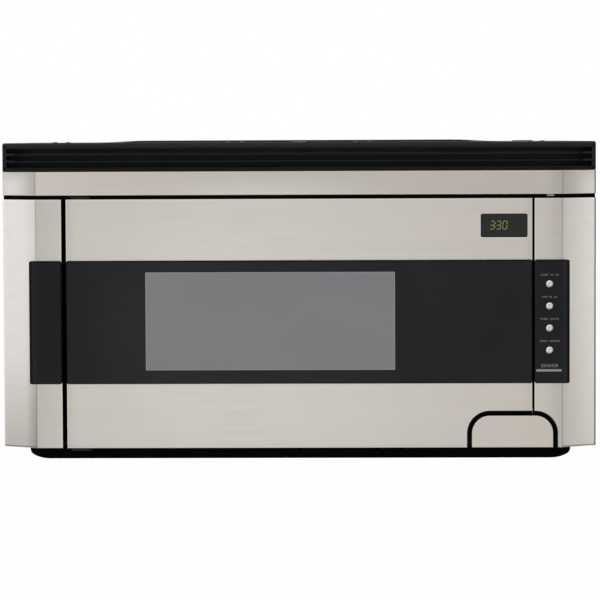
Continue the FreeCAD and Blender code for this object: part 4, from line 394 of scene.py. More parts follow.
@dataclass(frozen=True)
class SmokedGlass(Finish):
    """Black glass: dark beneath, with a clear polished face and the faintest ripple."""

    colour: Colour = linear(31, 31, 33)
    roughness: float = 0.12
    reflection: float = 0.07
    outer_at: float = 0.0
    top_at: float = 0.0

    def paint(self, board: NodeBoard) -> None:
        """A dark colour that drifts slightly, faint smears in the gloss, and a long soft ripple."""
        colour = board.drift(board.noise(9.0), self.colour, 0.82)
        # Painted shade along the top and the outer edge, and a painted highlight inside it.
        if self.top_at > 0:
            colour = board.tint(colour, self.edge_shade(board))
        smear = board.noise((40.0, 40.0, 90.0), 3.0)
        self.coat(board, colour, board.span(smear, 0.4, 0.7, self.roughness, self.roughness + 0.05))
        board.bump(board.noise(12.0, 1.0), 0.0002, 0.12)

    def edge_shade(self, board: NodeBoard) -> Level:
        """Painted shade along the top and along the outer edge, with a painted highlight in a paler strip
        inside the outer edge.
        """
        across, _, up = board.axes()
        level = board.span(self.top_at - up, 1.2 * MM, 2.2 * MM, 0.4, 1.0)
        if self.outer_at > 0:
            inside = self.outer_at - abs(across)
            dark = board.span(inside, 2.4 * MM, 4.2 * MM, 0.15, 1.3)
            pale = board.span(inside, 7.0 * MM, 9.5 * MM, 1.3, 1.0)
            level *= board.maths("MINIMUM", dark, pale)
        return level


@dataclass(frozen=True)
class Moulded(Finish):
    """Moulded plastic with a fine spark-eroded grain."""

    colour: Colour = linear(16, 16, 17)
    roughness: float = 0.42
    reflection: float = 0.2
    grain: float = 0.00055
    depth: float = 0.00004

    def paint(self, board: NodeBoard) -> None:
        """Grain in colour and bump, with broader patches where the gloss differs."""
        grain = board.noise(1 / self.grain, 2.0, 0.6)
        lighter = tuple(min(1.0, level * 1.18 + 0.0008) for level in self.colour)
        colour = board.blend(board.span(grain, 0.35, 0.7, 0.0, 1.0), self.colour, lighter)
        patch = board.noise(22.0, 3.0)
        gloss = board.span(patch, 0.35, 0.65, self.roughness - 0.04, self.roughness + 0.05)
        self.coat(board, self.by_height(board, colour), gloss)
        board.bump(grain, self.depth, 0.5)

    def by_height(self, board: NodeBoard, colour: Level) -> Level:
        """The colour, the same at every height."""
        return colour


@dataclass(frozen=True)
class CrestedMoulding(Moulded):
    """A moulding with a painted highlight along its upper edge and painted shade at its foot."""

    # Where the painted highlight starts and how far down it reaches, and the same for the painted shade at
    # the foot.
    top_at: float = 0.0
    crest: float = 6.0 * MM
    foot_at: float = 0.0
    foot: float = 5.5 * MM

    def by_height(self, board: NodeBoard, colour: Level) -> Level:
        """The colour, with painted light towards the top and painted shade near the foot."""
        up = board.axes()[2]
        lighter = board.span(self.top_at - up, 0.0, self.crest, 3.2, 1.0)
        above = up - self.foot_at
        darker = board.span(above, 0.0, self.foot, 0.55, 0.3)
        on_foot = board.maths("LESS_THAN", above, self.foot)
        shaded = board.node("ShaderNodeMix", i0=on_foot, i2=1.0, i3=darker).outputs[0]
        return board.tint(colour, lighter * shaded)


@dataclass(frozen=True)
class Painted(Finish):
    """Sprayed paint over sheet steel, with orange peel and a few darker specks."""

    colour: Colour = linear(26, 26, 27)
    roughness: float = 0.35

    def paint(self, board: NodeBoard) -> None:
        """Orange peel as a bump, and drifting colour and gloss."""
        cloud = board.noise(14.0, 3.0)
        gloss = board.span(cloud, 0.35, 0.65, self.roughness - 0.03, self.roughness + 0.05)
        self.coat(board, board.drift(cloud, self.colour, 0.86), gloss)
        board.bump(board.noise(480.0, 1.0, 0.4), 0.00003, 0.5)


@dataclass(frozen=True)
class PlatedSheet(Finish):
    """Zinc-plated sheet steel: grey metal with a soft spangle."""

    colour: Colour = linear(168, 170, 173)
    roughness: float = 0.38
    spangle: float = 0.011

    def paint(self, board: NodeBoard) -> None:
        """Cells of slightly different brightness and gloss, and fine rolling marks."""
        grid = board.place([1 / self.spangle] * 3)
        cells = board.node("ShaderNodeTexVoronoi", Vector=grid, Scale=1.0, Randomness=1.0)
        level = board.node("ShaderNodeRGBToBW", Color=cells.outputs["Color"]).outputs[0]
        rolling = board.noise((40.0, 900.0, 900.0), 2.0)
        darker = tuple(value * 0.74 for value in self.colour)
        shade = board.span(level, 0.2, 0.9, 0.0, 0.8) + board.span(rolling, 0.3, 0.7, 0.0, 0.2)
        gloss = board.span(level, 0.2, 0.8, self.roughness - 0.08, self.roughness + 0.08)
        board.set(Base__Color=board.blend(shade, darker, self.colour), Metallic=0.9, Roughness=gloss)
        board.bump(rolling, 0.00002, 0.4)


@dataclass(frozen=True)
class ClearSheet(Finish):
    """Clear glass or film, tinted, with a slight waviness."""

    colour: Colour = (0.86, 0.93, 0.91)
    roughness: float = 0.03
    opacity: float = 0.22

    def paint(self, board: NodeBoard) -> None:
        """Partly see-through surface whose gloss varies with faint smears."""
        smear = board.noise(30.0, 3.0)
        gloss = board.span(smear, 0.4, 0.7, self.roughness, self.roughness + 0.08)
        alpha = board.span(smear, 0.3, 0.7, self.opacity, self.opacity + 0.05)
        board.set(Base__Color=self.colour, Roughness=gloss, Alpha=alpha, IOR=1.5)
        board.bump(board.noise(18.0, 1.0), 0.0002, 0.2)


@dataclass(frozen=True)
class WovenMesh(Finish):
    """Layers of aluminium mesh: crossing wires with dark gaps."""

    colour: Colour = linear(176, 177, 179)
    pitch: float = 0.0042

    def paint(self, board: NodeBoard) -> None:
        """Two sets of diagonal waves make the wires, and their height makes the bump."""
        along, across, _ = board.axes()
        rate = 2 * math.pi / self.pitch
        waves = [board.maths("SINE", lean * rate) for lean in (along + across, along - across)]
        wires = board.maths("MAXIMUM", *waves)
        colour = board.blend(board.span(wires, -0.2, 0.5, 0.0, 1.0), linear(48, 47, 45), self.colour)
        tarnish = board.span(board.noise(60.0, 3.0), 0.45, 0.75, 0.0, 0.35)
        colour = board.blend(tarnish, colour, linear(128, 120, 104))
        board.set(Base__Color=colour, Metallic=0.85, Roughness=0.4)
        board.bump(wires, 0.0006, 0.8)


@dataclass(frozen=True)
class CircuitLacquer(Finish):
    """Green lacquered board with copper tracks showing through."""

    colour: Colour = linear(28, 92, 58)
    reflection: float = 0.4

    def paint(self, board: NodeBoard) -> None:
        """Brick-like tracks a shade lighter than the lacquer."""
        upright = board.node(
            "ShaderNodeMapping", Vector=board.coords, Rotation=(math.pi / 2, 0.0, 0.0), Scale=(160.0,) * 3
        )
        tracks = board.node(
            "ShaderNodeTexBrick", Vector=upright.outputs[0], Color1=self.colour,
            Color2=tuple(level * 0.8 for level in self.colour), Mortar=linear(70, 130, 78), Scale=1.0,
        )
        gloss = board.span(board.noise(700.0, 1.0), 0.3, 0.7, 0.28, 0.42)
        self.coat(board, tracks.outputs[0], gloss)
        board.bump(tracks.outputs[1], 0.0001, 0.5)


@dataclass(frozen=True)
class Glow(Finish):
    """A lit segment of a display."""

    colour: Colour = linear(176, 192, 82)
    strength: float = 0.45

    def paint(self, board: NodeBoard) -> None:
        """Emission that is uneven from stroke to stroke."""
        level = board.span(board.noise(900.0, 1.0), 0.3, 0.7, 0.8, 1.0) * self.strength
        board.set(Base__Color=(0.01,) * 3, Roughness=0.5)
        board.set(Emission__Color=self.colour, Emission__Strength=level)


@dataclass(frozen=True)
class ScreenedWindow(Finish):
    """The oven window: clear glass over a finely perforated screen, seen as even grey."""

    colour: Colour = linear(138, 135, 138)
    dark: Colour = linear(103, 100, 103)
    edge: Colour = linear(138, 136, 139)
    reflection: float = 0.08
    pitch: float = 0.0019
    middle: tuple[float, float] = (0.0, 0.0)
    half: tuple[float, float] = (1.0, 1.0)
    line: float = 0.0006

    def paint(self, board: NodeBoard) -> None:
        """Rows of holes, each row set half a pitch from the last, darken a lighter sheet."""
        across, _, up = board.axes()
        rate = 2 * math.pi / self.pitch
        waves = board.maths("SINE", across * rate) * board.maths("SINE", up * rate)
        colour = board.blend(board.span(waves, -0.6, 0.6, 0.0, 1.0), self.dark, self.colour)
        cloud = board.noise((6.0, 6.0, 9.0), 2.0)
        colour = board.blend(board.span(cloud, 0.3, 0.7, 0.0, 0.16), colour, self.dark)
        reach = [
            abs(place - middle) - half for place, middle, half in zip((across, up), self.middle, self.half)
        ]
        rim = board.span(board.maths("MAXIMUM", *reach), -self.line * 1.5, -self.line, 0.0, 1.0)
        self.coat(board, board.blend(rim, colour, self.edge), 0.25)


def grey(level: float) -> Colour:
    """A neutral colour from one level of 0..255."""
    return linear(level, level, level)


STEEL = BrushedSteel("brushed_steel")
PADDLE_STEEL = BrushedSteel("paddle_steel", linear(190, 183, 174))
# Painted highlight on the rounded edges of the steel sheets, with painted sky reflection.
STEEL_RIM_HIGHLIGHT = BrushedSteel("steel_rim", linear(196, 191, 184), 0.3, sky=0.55)
# Painted highlight: the bright ring round the lens.
CUT_STEEL_HIGHLIGHT = BrushedSteel("cut_steel", linear(212, 208, 202), 0.3)
# Silver with painted sky reflection.
SILVER = BrushedSteel("button_silver", linear(190, 189, 187), 0.28, grain=Axis.Z, sky=0.6)
# Painted shade: the sides and backs of the steel sheets are near black, so that the gaps between parts read
# dark.
STEEL_RETURN_SHADE = Painted("steel_return", grey(9), 0.6, 0.08)
DOOR_GLASS = SmokedGlass("smoked_glass")
BAND_BLACK = SmokedGlass("gloss_black", linear(28, 28, 30))
# Painted shade on the glass panels' rounded edges, sides and backs.
GLASS_RIM_SHADE = SmokedGlass("glass_rim", linear(9, 9, 10), 0.2, 0.05)
LENS_BLACK = SmokedGlass("display_window", linear(42, 42, 41), 0.2)
BLACK = Moulded("black_moulding", grey(12), reflection=0.06)
# The grille's moulding; its painted highlight and painted shade are placed where the grille is built.
GRILLE_BLACK = CrestedMoulding("grille_moulding", linear(18, 18, 20), 0.4, 0.1)
WHITE_MOULDING = Moulded("white_moulding", linear(214, 213, 207), 0.4, 0.4)
GREY_MOULDING = Moulded("fan_moulding", linear(108, 109, 111), 0.45, 0.35)
KEY_GREY = Moulded("key_grey", linear(66, 66, 69), 0.36, 0.35)
KEY_FILM = Moulded("key_film", linear(92, 93, 96), 0.3, 0.4)
MICA = Moulded("mica", linear(176, 164, 138), 0.55, 0.3, grain=0.002)
CHARCOAL = Moulded("charcoal", linear(34, 34, 36), 0.9, 0.06, grain=0.003, depth=0.0008)
IRON = Moulded("transformer_iron", linear(52, 46, 42), 0.5, 0.4, grain=0.0012)
PRINT = Moulded("pale_print", linear(122, 122, 120), 0.5)
CASE_PAINT = Painted("case_paint", linear(44, 44, 46), reflection=0.2)
PAN_PAINT = Painted("pan_paint", grey(5), 0.5, 0.01)
CAVITY_PAINT = Painted("cavity_paint", linear(186, 184, 176), 0.3, 0.45)
FRAME_PAINT = Painted("frame_paint", linear(22, 22, 23), 0.5, 0.15)
# Dark paint on the front plate and the hinges, which also stands for the shade seen through the gaps round
# the door.
PLATE_SHADE_PAINT = Painted("plate_paint", linear(34, 33, 32), 0.6, 0.1)
ZINC = PlatedSheet("zinc_sheet")
MOTOR_STEEL = PlatedSheet("motor_steel", linear(150, 151, 152), spangle=0.006)
SCREW_STEEL = PlatedSheet("screw_steel", grey(120), 0.3, spangle=0.004)
CLIP_STEEL = PlatedSheet("clip_steel", linear(140, 140, 141), 0.4, spangle=0.004)
MAGNETRON = PlatedSheet("magnetron_metal", linear(186, 184, 178), 0.32, spangle=0.02)
CLEAR = ClearSheet("clear_film")
TRAY_GLASS = ClearSheet("tray_glass", (0.84, 0.94, 0.92), opacity=0.3)
LAMP_GLASS = ClearSheet("lamp_glass", (0.95, 0.94, 0.9), 0.12, opacity=0.55)
MESH = WovenMesh("filter_mesh")
BOARD = CircuitLacquer("board")
DIGITS = Glow("display_digits")

# The record's material slot of each finish that isn't named after its slot.
STEEL_PIECES = ("trim_left_steel", "trim_right_steel", "top_band_steel", "door_skin_steel")
SLOT_OF = dict.fromkeys((*STEEL_PIECES, "cut_steel", "paddle_steel"), "brushed_steel") | {
    "band_left_black": "gloss_black",
    "band_right_black": "gloss_black",
    "door_glass_black": "smoked_glass",
    "grille_moulding": "black_moulding",
    "window_screen_look": "smoked_glass",
    "display_digits": "display_window",
    "pale_print": "gloss_black",
    "pan_paint": "case_paint",
}

# The CAD nodes that are shown as they are, by finish.
CARRIED: dict[Finish, tuple[str, ...]] = {
    ZINC: ("wall_mounting_plate", "back_plate", "blower_housing"),
    # The front plate and the hinges: dark paint that also paints the shade in the gaps round the door.
    PLATE_SHADE_PAINT: ("front_plate", "door_hinges"),
    LAMP_GLASS: ("lamps",),
    CAVITY_PAINT: ("oven_cavity",),
    MICA: ("waveguide_cover",),
    MAGNETRON: ("magnetron",),
    MOTOR_STEEL: ("turntable_motor", "blower_motor"),
    GREY_MOULDING: ("cooling_fan_housing", "blower_rotor", "cooling_fan", "interlock_switches"),
    IRON: ("high_voltage_supply",),
    BOARD: ("circuit_boards",),
    CHARCOAL: ("charcoal_filter",),
    CLIP_STEEL: ("steel_clips",),
    SCREW_STEEL: ("case_screws",),
    WHITE_MOULDING: (
        "latch_body", "hinge_bushes", "turntable_coupling", "roller_support", "roller_1", "roller_2",
        "roller_3",
    ),
    LENS_BLACK: ("display_module",),
    FRAME_PAINT: ("door_frame", "window_screen"),
    CLEAR: ("inner_window",),
    BLACK: ("handle_lever", "latch_head", "cord_bush"),
}


# Meshes


def link(name: str, data: bpy.types.ID) -> Piece:
    """Make an object from its data and put it in the scene."""
    made = bpy.data.objects.new(name, data)
    bpy.context.scene.collection.objects.link(made)
    return made


def new_piece(name: str, points: np.ndarray, faces: Iterable[Sequence[int]], finish: Finish) -> Piece:
    """Make a mesh object at the origin.

    Args:
        name: the piece's name.
        points: vertex places, one row each.
        faces: vertex numbers of each face.
        finish: the surface it gets.

    Returns:
        The new object, linked to the scene.
    """
    mesh = bpy.data.meshes.new(name)
    places = np.asarray(points, float).reshape(-1, 3).tolist()
    mesh.from_pydata(places, [], [list(map(int, face)) for face in faces])
    mesh.update()
    mesh.materials.append(finish.material())
    return link(name, mesh)


def tidy(piece: Piece) -> Piece:
    """Merge doubles, turn the faces outwards and shade smooth."""
    work = bmesh.new()
    work.from_mesh(piece.data)
    bmesh.ops.remove_doubles(work, verts=work.verts, dist=1e-6)
    bmesh.ops.recalc_face_normals(work, faces=work.faces)
    work.to_mesh(piece.data)
    work.free()
    return shade(piece)


def shade(piece: Piece, angle: float = 35.0) -> Piece:
    """Shade smooth, with edges sharper than an angle in degrees kept crisp."""
    piece.data.shade_smooth()
    piece.data.set_sharp_from_angle(angle=math.radians(angle))
    return piece


def grid_faces(rows: int, columns: int, wrap_rows: bool, wrap_columns: bool) -> np.ndarray:
    """Quads between neighbours of a grid of points, wrapped round where asked."""
    r = np.arange(rows if wrap_rows else rows - 1)
    c = np.arange(columns if wrap_columns else columns - 1)
    r, c = (v.ravel() for v in np.meshgrid(r, c, indexing="ij"))
    r2, c2 = (r + 1) % rows, (c + 1) % columns
    return np.stack([r * columns + c, r * columns + c2, r2 * columns + c2, r2 * columns + c], 1)


def surface(name: str, points: np.ndarray, finish: Finish, wrap_rows: bool = False) -> Piece:
    """A closed profile carried through rows of a grid, as in points[row, column].

    Args:
        name: the piece's name.
        points: places, rows by columns by 3; each row is one closed profile.
        finish: the surface it gets.
        wrap_rows: whether the last row joins the first; if not, both are filled in.

    Returns:
        The new object.
    """
    rows, columns = points.shape[:2]
    faces = grid_faces(rows, columns, wrap_rows, True).tolist()
    if not wrap_rows:
        faces += [list(range(columns))[::-1], list(range((rows - 1) * columns, rows * columns))]
    return tidy(new_piece(name, points, faces, finish))


def lathe(
    name: str, profile: Sequence[tuple[float, float]], centre: Sequence[float], axis: Axis, finish: Finish,
    steps: int = 64,
) -> Piece:
    """Turn a closed profile of (radius, distance along the axis) about an axis.

    The surface is centre + radius * (cos a, sin a) across the axis + distance along it, for the
    angle a from 0 to a full turn.
    """
    rim = np.array(profile, float)
    angle = np.linspace(0.0, 2 * math.pi, steps, endpoint=False)[:, None]
    across = [np.cos(angle) * rim[:, 0], np.sin(angle) * rim[:, 0]]
    along = np.broadcast_to(rim[:, 1], across[0].shape)
    order = {Axis.X: (along, *across), Axis.Y: (across[1], along, across[0]), Axis.Z: (*across, along)}[axis]
    points = np.stack(order, -1) + np.array(centre, float)
    return surface(name, points, finish, wrap_rows=True)


def arc(centre: Sequence[float], radius: float, start: float, end: float, steps: int = 8) -> np.ndarray:
    """Points on an arc, from a start angle to an end angle in degrees."""
    angle = np.radians(np.linspace(start, end, steps + 1))[:, None]
    return np.array(centre, float) + radius * np.hstack([np.cos(angle), np.sin(angle)])


def rounded_outline(left: float, right: float, low: float, high: float, radii: Sequence[float]) -> np.ndarray:
    """An anticlockwise rectangle whose corners, from low left onwards, have the given radii."""
    corners = ((left, low, 180), (right, low, 270), (right, high, 0), (left, high, 90))
    pieces = []
    for (x, z, start), radius in zip(corners, radii):
        centre = (x + radius * (1 if x == left else -1), z + radius * (1 if z == low else -1))
        pieces.append(arc(centre, radius, start, start + 90) if radius > 0 else np.array([[x, z]]))
    return np.vstack(pieces)


def upright(outline: np.ndarray, y: float) -> np.ndarray:
    """An outline in X and Z, set at one Y."""
    return np.column_stack([outline[:, 0], np.full(len(outline), y), outline[:, 1]])


def inset_outline(outline: np.ndarray, distance: float) -> np.ndarray:
    """Draw an anticlockwise outline in: each corner moves along the mean of its two edge normals."""
    leg = outline - np.roll(outline, 1, 0)
    leg /= np.maximum(np.linalg.norm(leg, axis=1, keepdims=True), 1e-12)
    normal = np.stack([-leg[:, 1], leg[:, 0]], 1)
    return outline + mitre(normal, np.roll(normal, -1, 0), 0.3) * distance


def mitre(first: np.ndarray, second: np.ndarray, least: float) -> np.ndarray:
    """Mean of two normals, lengthened so that both edges keep their distance, up to a limit."""
    mean = first + second
    return mean / np.maximum((mean * first).sum(1, keepdims=True), least)


def plate(
    name: str, outline: np.ndarray, front: float, back: float, edge: float, finish: Finish, steps: int = 4
) -> Piece:
    """A plate across Y from an outline in X and Z, with its front edge rounded.

    Each ring is the outline drawn in by edge * (1 - sin t) and set at front + edge * (1 - cos t),
    for t from 0 to a quarter turn, and the last ring is the back.
    """
    turn = np.linspace(0.0, math.pi / 2, steps + 1)
    rings = [(edge * (1 - math.sin(t)), front + edge * (1 - math.cos(t))) for t in turn] + [(0.0, back)]
    rows = [upright(inset_outline(outline, inset), y) for inset, y in rings]
    return surface(name, np.array(rows), finish)


def swept(name: str, profile: np.ndarray, path: np.ndarray, finish: Finish) -> Piece:
    """Carry a closed profile of (outward, up) along a level path with mitred corners.

    At each point of the path the profile's outward axis is the mean normal of the two legs,
    lengthened so that both legs keep their distance.
    """
    leg = np.diff(path, axis=0)
    leg /= np.linalg.norm(leg, axis=1, keepdims=True)
    normal = np.stack([leg[:, 1], -leg[:, 0]], 1)
    mean = mitre(np.vstack([normal[:1], normal]), np.vstack([normal, normal[-1:]]), 0.2)
    places = path[:, None, :] + mean[:, None, :] * profile[None, :, :1]
    up = np.broadcast_to(profile[:, 1], places.shape[:2])
    return shade(surface(name, np.concatenate([places, up[..., None]], -1), finish), 30.0)


def pressed(
    node: str, name: str, body: Body, finish: Finish, edge: float = 0.0006, segments: int = 2,
    angle: float = 40.0, rim: Finish | None = None, returns: Finish | None = None,
) -> Piece:
    """A CAD node's form with its triangles merged into faces and its edges rounded.

    Args:
        node: the CAD node that it is copied from and stands for.
        name: the piece's name.
        body: the body it rides on.
        finish: the surface it gets.
        edge: radius of the edges in metres.
        segments: steps across each rounded edge.
        angle: edges sharper than this many degrees are rounded.
        rim: the surface of the rounded edges, where it differs.
        returns: the surface of every face that doesn't look to the front, where it differs.

    Returns:
        The new object.
    """
    mesh = bpy.data.meshes.new(name)
    work = bmesh.new()
    work.from_mesh(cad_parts[node].data)
    bmesh.ops.remove_doubles(work, verts=work.verts, dist=2e-6)
    flat = math.radians(0.4)
    bmesh.ops.dissolve_limit(work, angle_limit=flat, verts=work.verts, edges=work.edges)
    work.to_mesh(mesh)
    work.free()
    mesh.materials.clear()
    for surface_finish in (finish, rim or finish, returns or finish):
        mesh.materials.append(surface_finish.material())
    normals = np.empty(len(mesh.polygons) * 3)
    mesh.polygons.foreach_get("normal", normals)
    to_front = normals.reshape(-1, 3)[:, 1] < FRONT_FACING
    mesh.polygons.foreach_set("material_index", np.where(to_front, 0, 2).astype(np.int32))
    piece = shade(link(name, mesh), 30.0)
    bevel = piece.modifiers.new("rounded_edges", "BEVEL")
    bevel.width, bevel.segments = edge, segments
    bevel.limit_method, bevel.angle_limit = "ANGLE", math.radians(angle)
    bevel.harden_normals = bevel.use_clamp_overlap = True
    bevel.material = 1
    return settle(piece, body, node)


def edged(node: str, name: str, body: Body, finish: Finish, edge: float) -> Piece:
    """A pressed steel sheet or glass panel whose rounded edges and returns have finishes of their own:
    painted highlight on the steel's edges, painted shade on its returns, and painted shade on both for glass.
    """
    steel = isinstance(finish, BrushedSteel)
    angle, rim, returns = (50.0, STEEL_RIM_HIGHLIGHT, STEEL_RETURN_SHADE) if steel else (40.0, GLASS_RIM_SHADE, GLASS_RIM_SHADE)
    return pressed(node, name, body, finish, edge, 3, angle, rim, returns)


def lettering(
    name: str, words: str, centre: tuple[float, float], height: float, front: float, finish: Finish
) -> Piece:
    """Plain words printed on a front face of the case.

    Args:
        name: the piece's name.
        words: what is printed.
        centre: the middle of the words in X and Z.
        height: height of a capital in metres.
        front: the Y of the print.
        finish: the surface it gets.

    Returns:
        The new object, already settled on the chassis.
    """
    curve = bpy.data.curves.new(name, "FONT")
    curve.body = words
    curve.align_x, curve.align_y = "CENTER", "CENTER"
    curve.size = height / CAPITAL_SHARE
    curve.space_character = 1.1
    curve.resolution_u = 3
    source = bpy.data.objects.new(name + "_source", curve)
    flat = bpy.data.meshes.new_from_object(source)
    places = np.empty(len(flat.vertices) * 3)
    flat.vertices.foreach_get("co", places)
    places = places.reshape(-1, 3)
    points = upright(places[:, :2] + centre, front)
    faces = [list(face.vertices) for face in flat.polygons]
    bpy.data.objects.remove(source)
    bpy.data.meshes.remove(flat)
    return settle(new_piece(name, points, faces, finish), Body.CHASSIS)


def settle(piece: Piece, body: Body, *nodes: str) -> Piece:
    """Let a finished piece ride on a body and stand for CAD nodes, and report it."""
    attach(piece, body.value)
    if nodes:
        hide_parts(*nodes)
    log.info("%s: %d faces, on %s", piece.name, len(piece.data.polygons), body.value)
    return piece


# Front of the case


@dataclass
class FrontPlan:
    """Where the front's planes and edges are, read from the frame."""

    half: float = field(default_factory=lambda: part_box("outer_case")[1].x)
    face: float = field(default_factory=lambda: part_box("trim_left")[0].y)
    case_front: float = field(default_factory=lambda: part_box("trim_left")[1].y)
    wing_width: float = 44.5 * MM
    wing_drop: float = 17.0 * MM
    wing_return: float = 8.0 * MM
    bend: float = 2.2 * MM

    def folded_steel(self, node: str, tone: float = 1.0, band: bool = False) -> FoldedSteel:
        """The brushed steel of one folded sheet, with a hair line at its bend, painted light and shade on its
        wings and flat, and a painted highlight inside its borders.
        """
        low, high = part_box(node)
        return FoldedSteel(
            node + "_steel",
            tuple(level * tone for level in STEEL.colour),
            bend_at=self.half - self.wing_width,
            edge_at=self.half,
            foot_at=-1.0 if band else low.z,
            left_flat_shade=0.0 if band else 0.11,
            left_painted_light=0.13 if band else 0.0,
            borders=(low.x, high.x, low.z, high.z),
            lit_foot=band,
        )

    def path(self) -> np.ndarray:
        """The front edge seen from above, left to right, with its outer corners bent round."""
        crease = self.half - self.wing_width
        wing = self.face + self.wing_drop
        back = wing + self.wing_return
        slope = math.degrees(math.atan2(self.wing_drop, self.wing_width))
        reach = self.bend * math.tan(math.radians((90 - slope) / 2))
        corner = arc((-self.half + self.bend, wing + reach), self.bend, 180, 270 - slope, 6)
        left = np.vstack([[[-self.half, back]], corner, [[-crease, self.face]]])
        return np.vstack([left, (left * [-1, 1])[::-1]])


@dataclass
class VentGrille:
    """Black louvre across the top: rails, end posts and two level blades."""

    plan: FrontPlan
    bottom_rail: float = 5.1 * MM
    top_rail: float = 7.6 * MM
    corner: float = 3.5 * MM
    blade: float = 2.9 * MM
    blade_depth: float = 11.0 * MM
    blade_setback: float = 3.0 * MM
    end: float = 5.8 * MM
    edge: float = 0.7 * MM

    def build(self) -> None:
        """Build the rails, the blades and the posts."""
        low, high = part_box("vent_grille")
        # The moulding with painted light along the top and painted shade along the foot.
        black = replace(GRILLE_BLACK, top_at=high.z, foot_at=low.z)
        path = self.dense_path()
        rails = {
            "grille_bottom_rail": (low.z, low.z + self.bottom_rail),
            "grille_top_rail": (high.z - self.top_rail, high.z),
        }
        for name, (start, stop) in rails.items():
            radii = (0, self.edge, self.edge, 0)
            profile = rounded_outline(-self.plan.wing_return, 0.0, start, stop, radii)
            rail = self.round_corners(swept(name, profile, path, black), high.z)
            settle(rail, Body.CHASSIS, "vent_grille")
        opening = (high.z - self.top_rail) - (low.z + self.bottom_rail)
        pitch = (opening - 2 * self.blade) / 3 + self.blade
        for index in (1, 2):
            start = low.z + self.bottom_rail + index * pitch - self.blade
            self.build_blade("grille_blade_%d" % index, start, black)
        levels = (low.z + self.bottom_rail * 0.4, high.z - self.top_rail * 0.4)
        for name, side in (("grille_end_left", -1), ("grille_end_right", 1)):
            self.build_post(name, side, levels, black)

    def dense_path(self) -> np.ndarray:
        """The plan's path with more points where the upper corners are round."""
        path = self.plan.path()
        slope = self.plan.wing_drop / self.plan.wing_width
        x = self.corner * np.linspace(0.5, 1.0, 5) - self.plan.half
        y = self.plan.face + self.plan.wing_drop - slope * (x + self.plan.half)
        extra = np.column_stack([x, y])
        middle = len(path) // 2
        left = np.vstack([path[: middle - 1], extra, path[middle - 1 : middle]])
        return np.vstack([left, (left * [-1, 1])[::-1]])

    def round_corners(self, piece: Piece, high: float) -> Piece:
        """Lower the points past each upper corner's centre onto a circle about it.

        The highest level at a distance u past the centre is high - r + sqrt(r * r - u * u).
        """
        count = len(piece.data.vertices)
        places = np.empty(count * 3)
        piece.data.vertices.foreach_get("co", places)
        places = places.reshape(-1, 3)
        past = np.clip(np.abs(places[:, 0]) - (self.plan.half - self.corner), 0.0, self.corner)
        limit = high - self.corner + np.sqrt(self.corner**2 - past**2)
        places[:, 2] = np.minimum(places[:, 2], limit)
        piece.data.vertices.foreach_set("co", places.ravel())
        piece.data.update()
        return piece

    def build_blade(self, name: str, start: float, black: Finish) -> None:
        """One blade: a thin slat with a round nose, tipped slightly down at the front."""
        thick = self.blade
        nose = arc((-self.blade_setback - thick / 2, start + thick / 2), thick / 2, -90, 90)
        tail = -self.blade_setback - self.blade_depth
        profile = np.vstack([nose, [[tail, start + thick * 1.1], [tail, start + thick * 0.1]]])
        path = self.plan.path()[1:-1]
        path[0, 0] += self.end / 2
        path[-1, 0] -= self.end / 2
        settle(swept(name, profile, path, black), Body.CHASSIS)

    def build_post(self, name: str, side: int, levels: tuple[float, float], black: Finish) -> None:
        """An end post: the plan's rounded corner carried upwards between the rails."""
        plan = self.plan
        inner = -plan.half + self.end
        slope = plan.wing_drop / plan.wing_width
        cut = [[inner, plan.face + plan.wing_drop - slope * self.end], [inner, plan.case_front]]
        ring = np.vstack([plan.path()[:8], cut])[::-1] * [-side, 1]
        points = np.stack([np.column_stack([ring, np.full(len(ring), z)]) for z in levels])
        settle(surface(name, points, black), Body.CHASSIS)


@dataclass
class TopBand:
    """Steel band between door and grille: one sheet folded back along both long edges."""

    plan: FrontPlan
    gauge: float = 1.0 * MM
    fold: float = 1.6 * MM

    def build(self) -> None:
        """Carry a folded channel along the front edge."""
        low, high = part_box("top_band")
        depth = self.plan.wing_return - 0.5 * MM
        fold = self.fold

        def channel(inward: float) -> np.ndarray:
            """The section of the channel, drawn in from its outer face."""
            lower = arc((-fold, low.z + fold), fold - inward, -90, 0, 5)
            upper = arc((-fold, high.z - fold), fold - inward, 0, 90, 5)
            return np.vstack([[[-depth, low.z + inward]], lower, upper, [[-depth, high.z - inward]]])

        section = np.vstack([channel(0.0), channel(self.gauge)[::-1]])
        # Painted light and shade on the band, with a painted highlight inside its borders and along its foot.
        steel = self.plan.folded_steel("top_band", 0.93, band=True)
        band = swept("top_band_steel", section, self.plan.path(), steel)
        settle(band, Body.CHASSIS, "top_band")


@dataclass
class SideTrims:
    """The two bent steel strips beside the door, and the dark panel on each."""

    plan: FrontPlan
    steel_edge: float = 0.7 * MM
    glass_edge: float = 1.3 * MM

    def build(self) -> None:
        """Dress the trims and their panels."""
        for side in ("left", "right"):
            trim, band = "trim_" + side, "band_" + side
            # Painted light and shade on each trim's folded steel.
            steel = self.plan.folded_steel(trim)
            edged(trim, trim + "_steel", Body.CHASSIS, steel, self.steel_edge)
            low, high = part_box(band)
            outer = max(abs(low.x), abs(high.x))
            # Painted shade along each panel's top and outer edge, with a painted highlight inside the outer
            # edge.
            black = replace(BAND_BLACK, name=band + "_black", outer_at=outer, top_at=high.z)
            edged(band, band + "_panel", Body.CHASSIS, black, self.glass_edge)


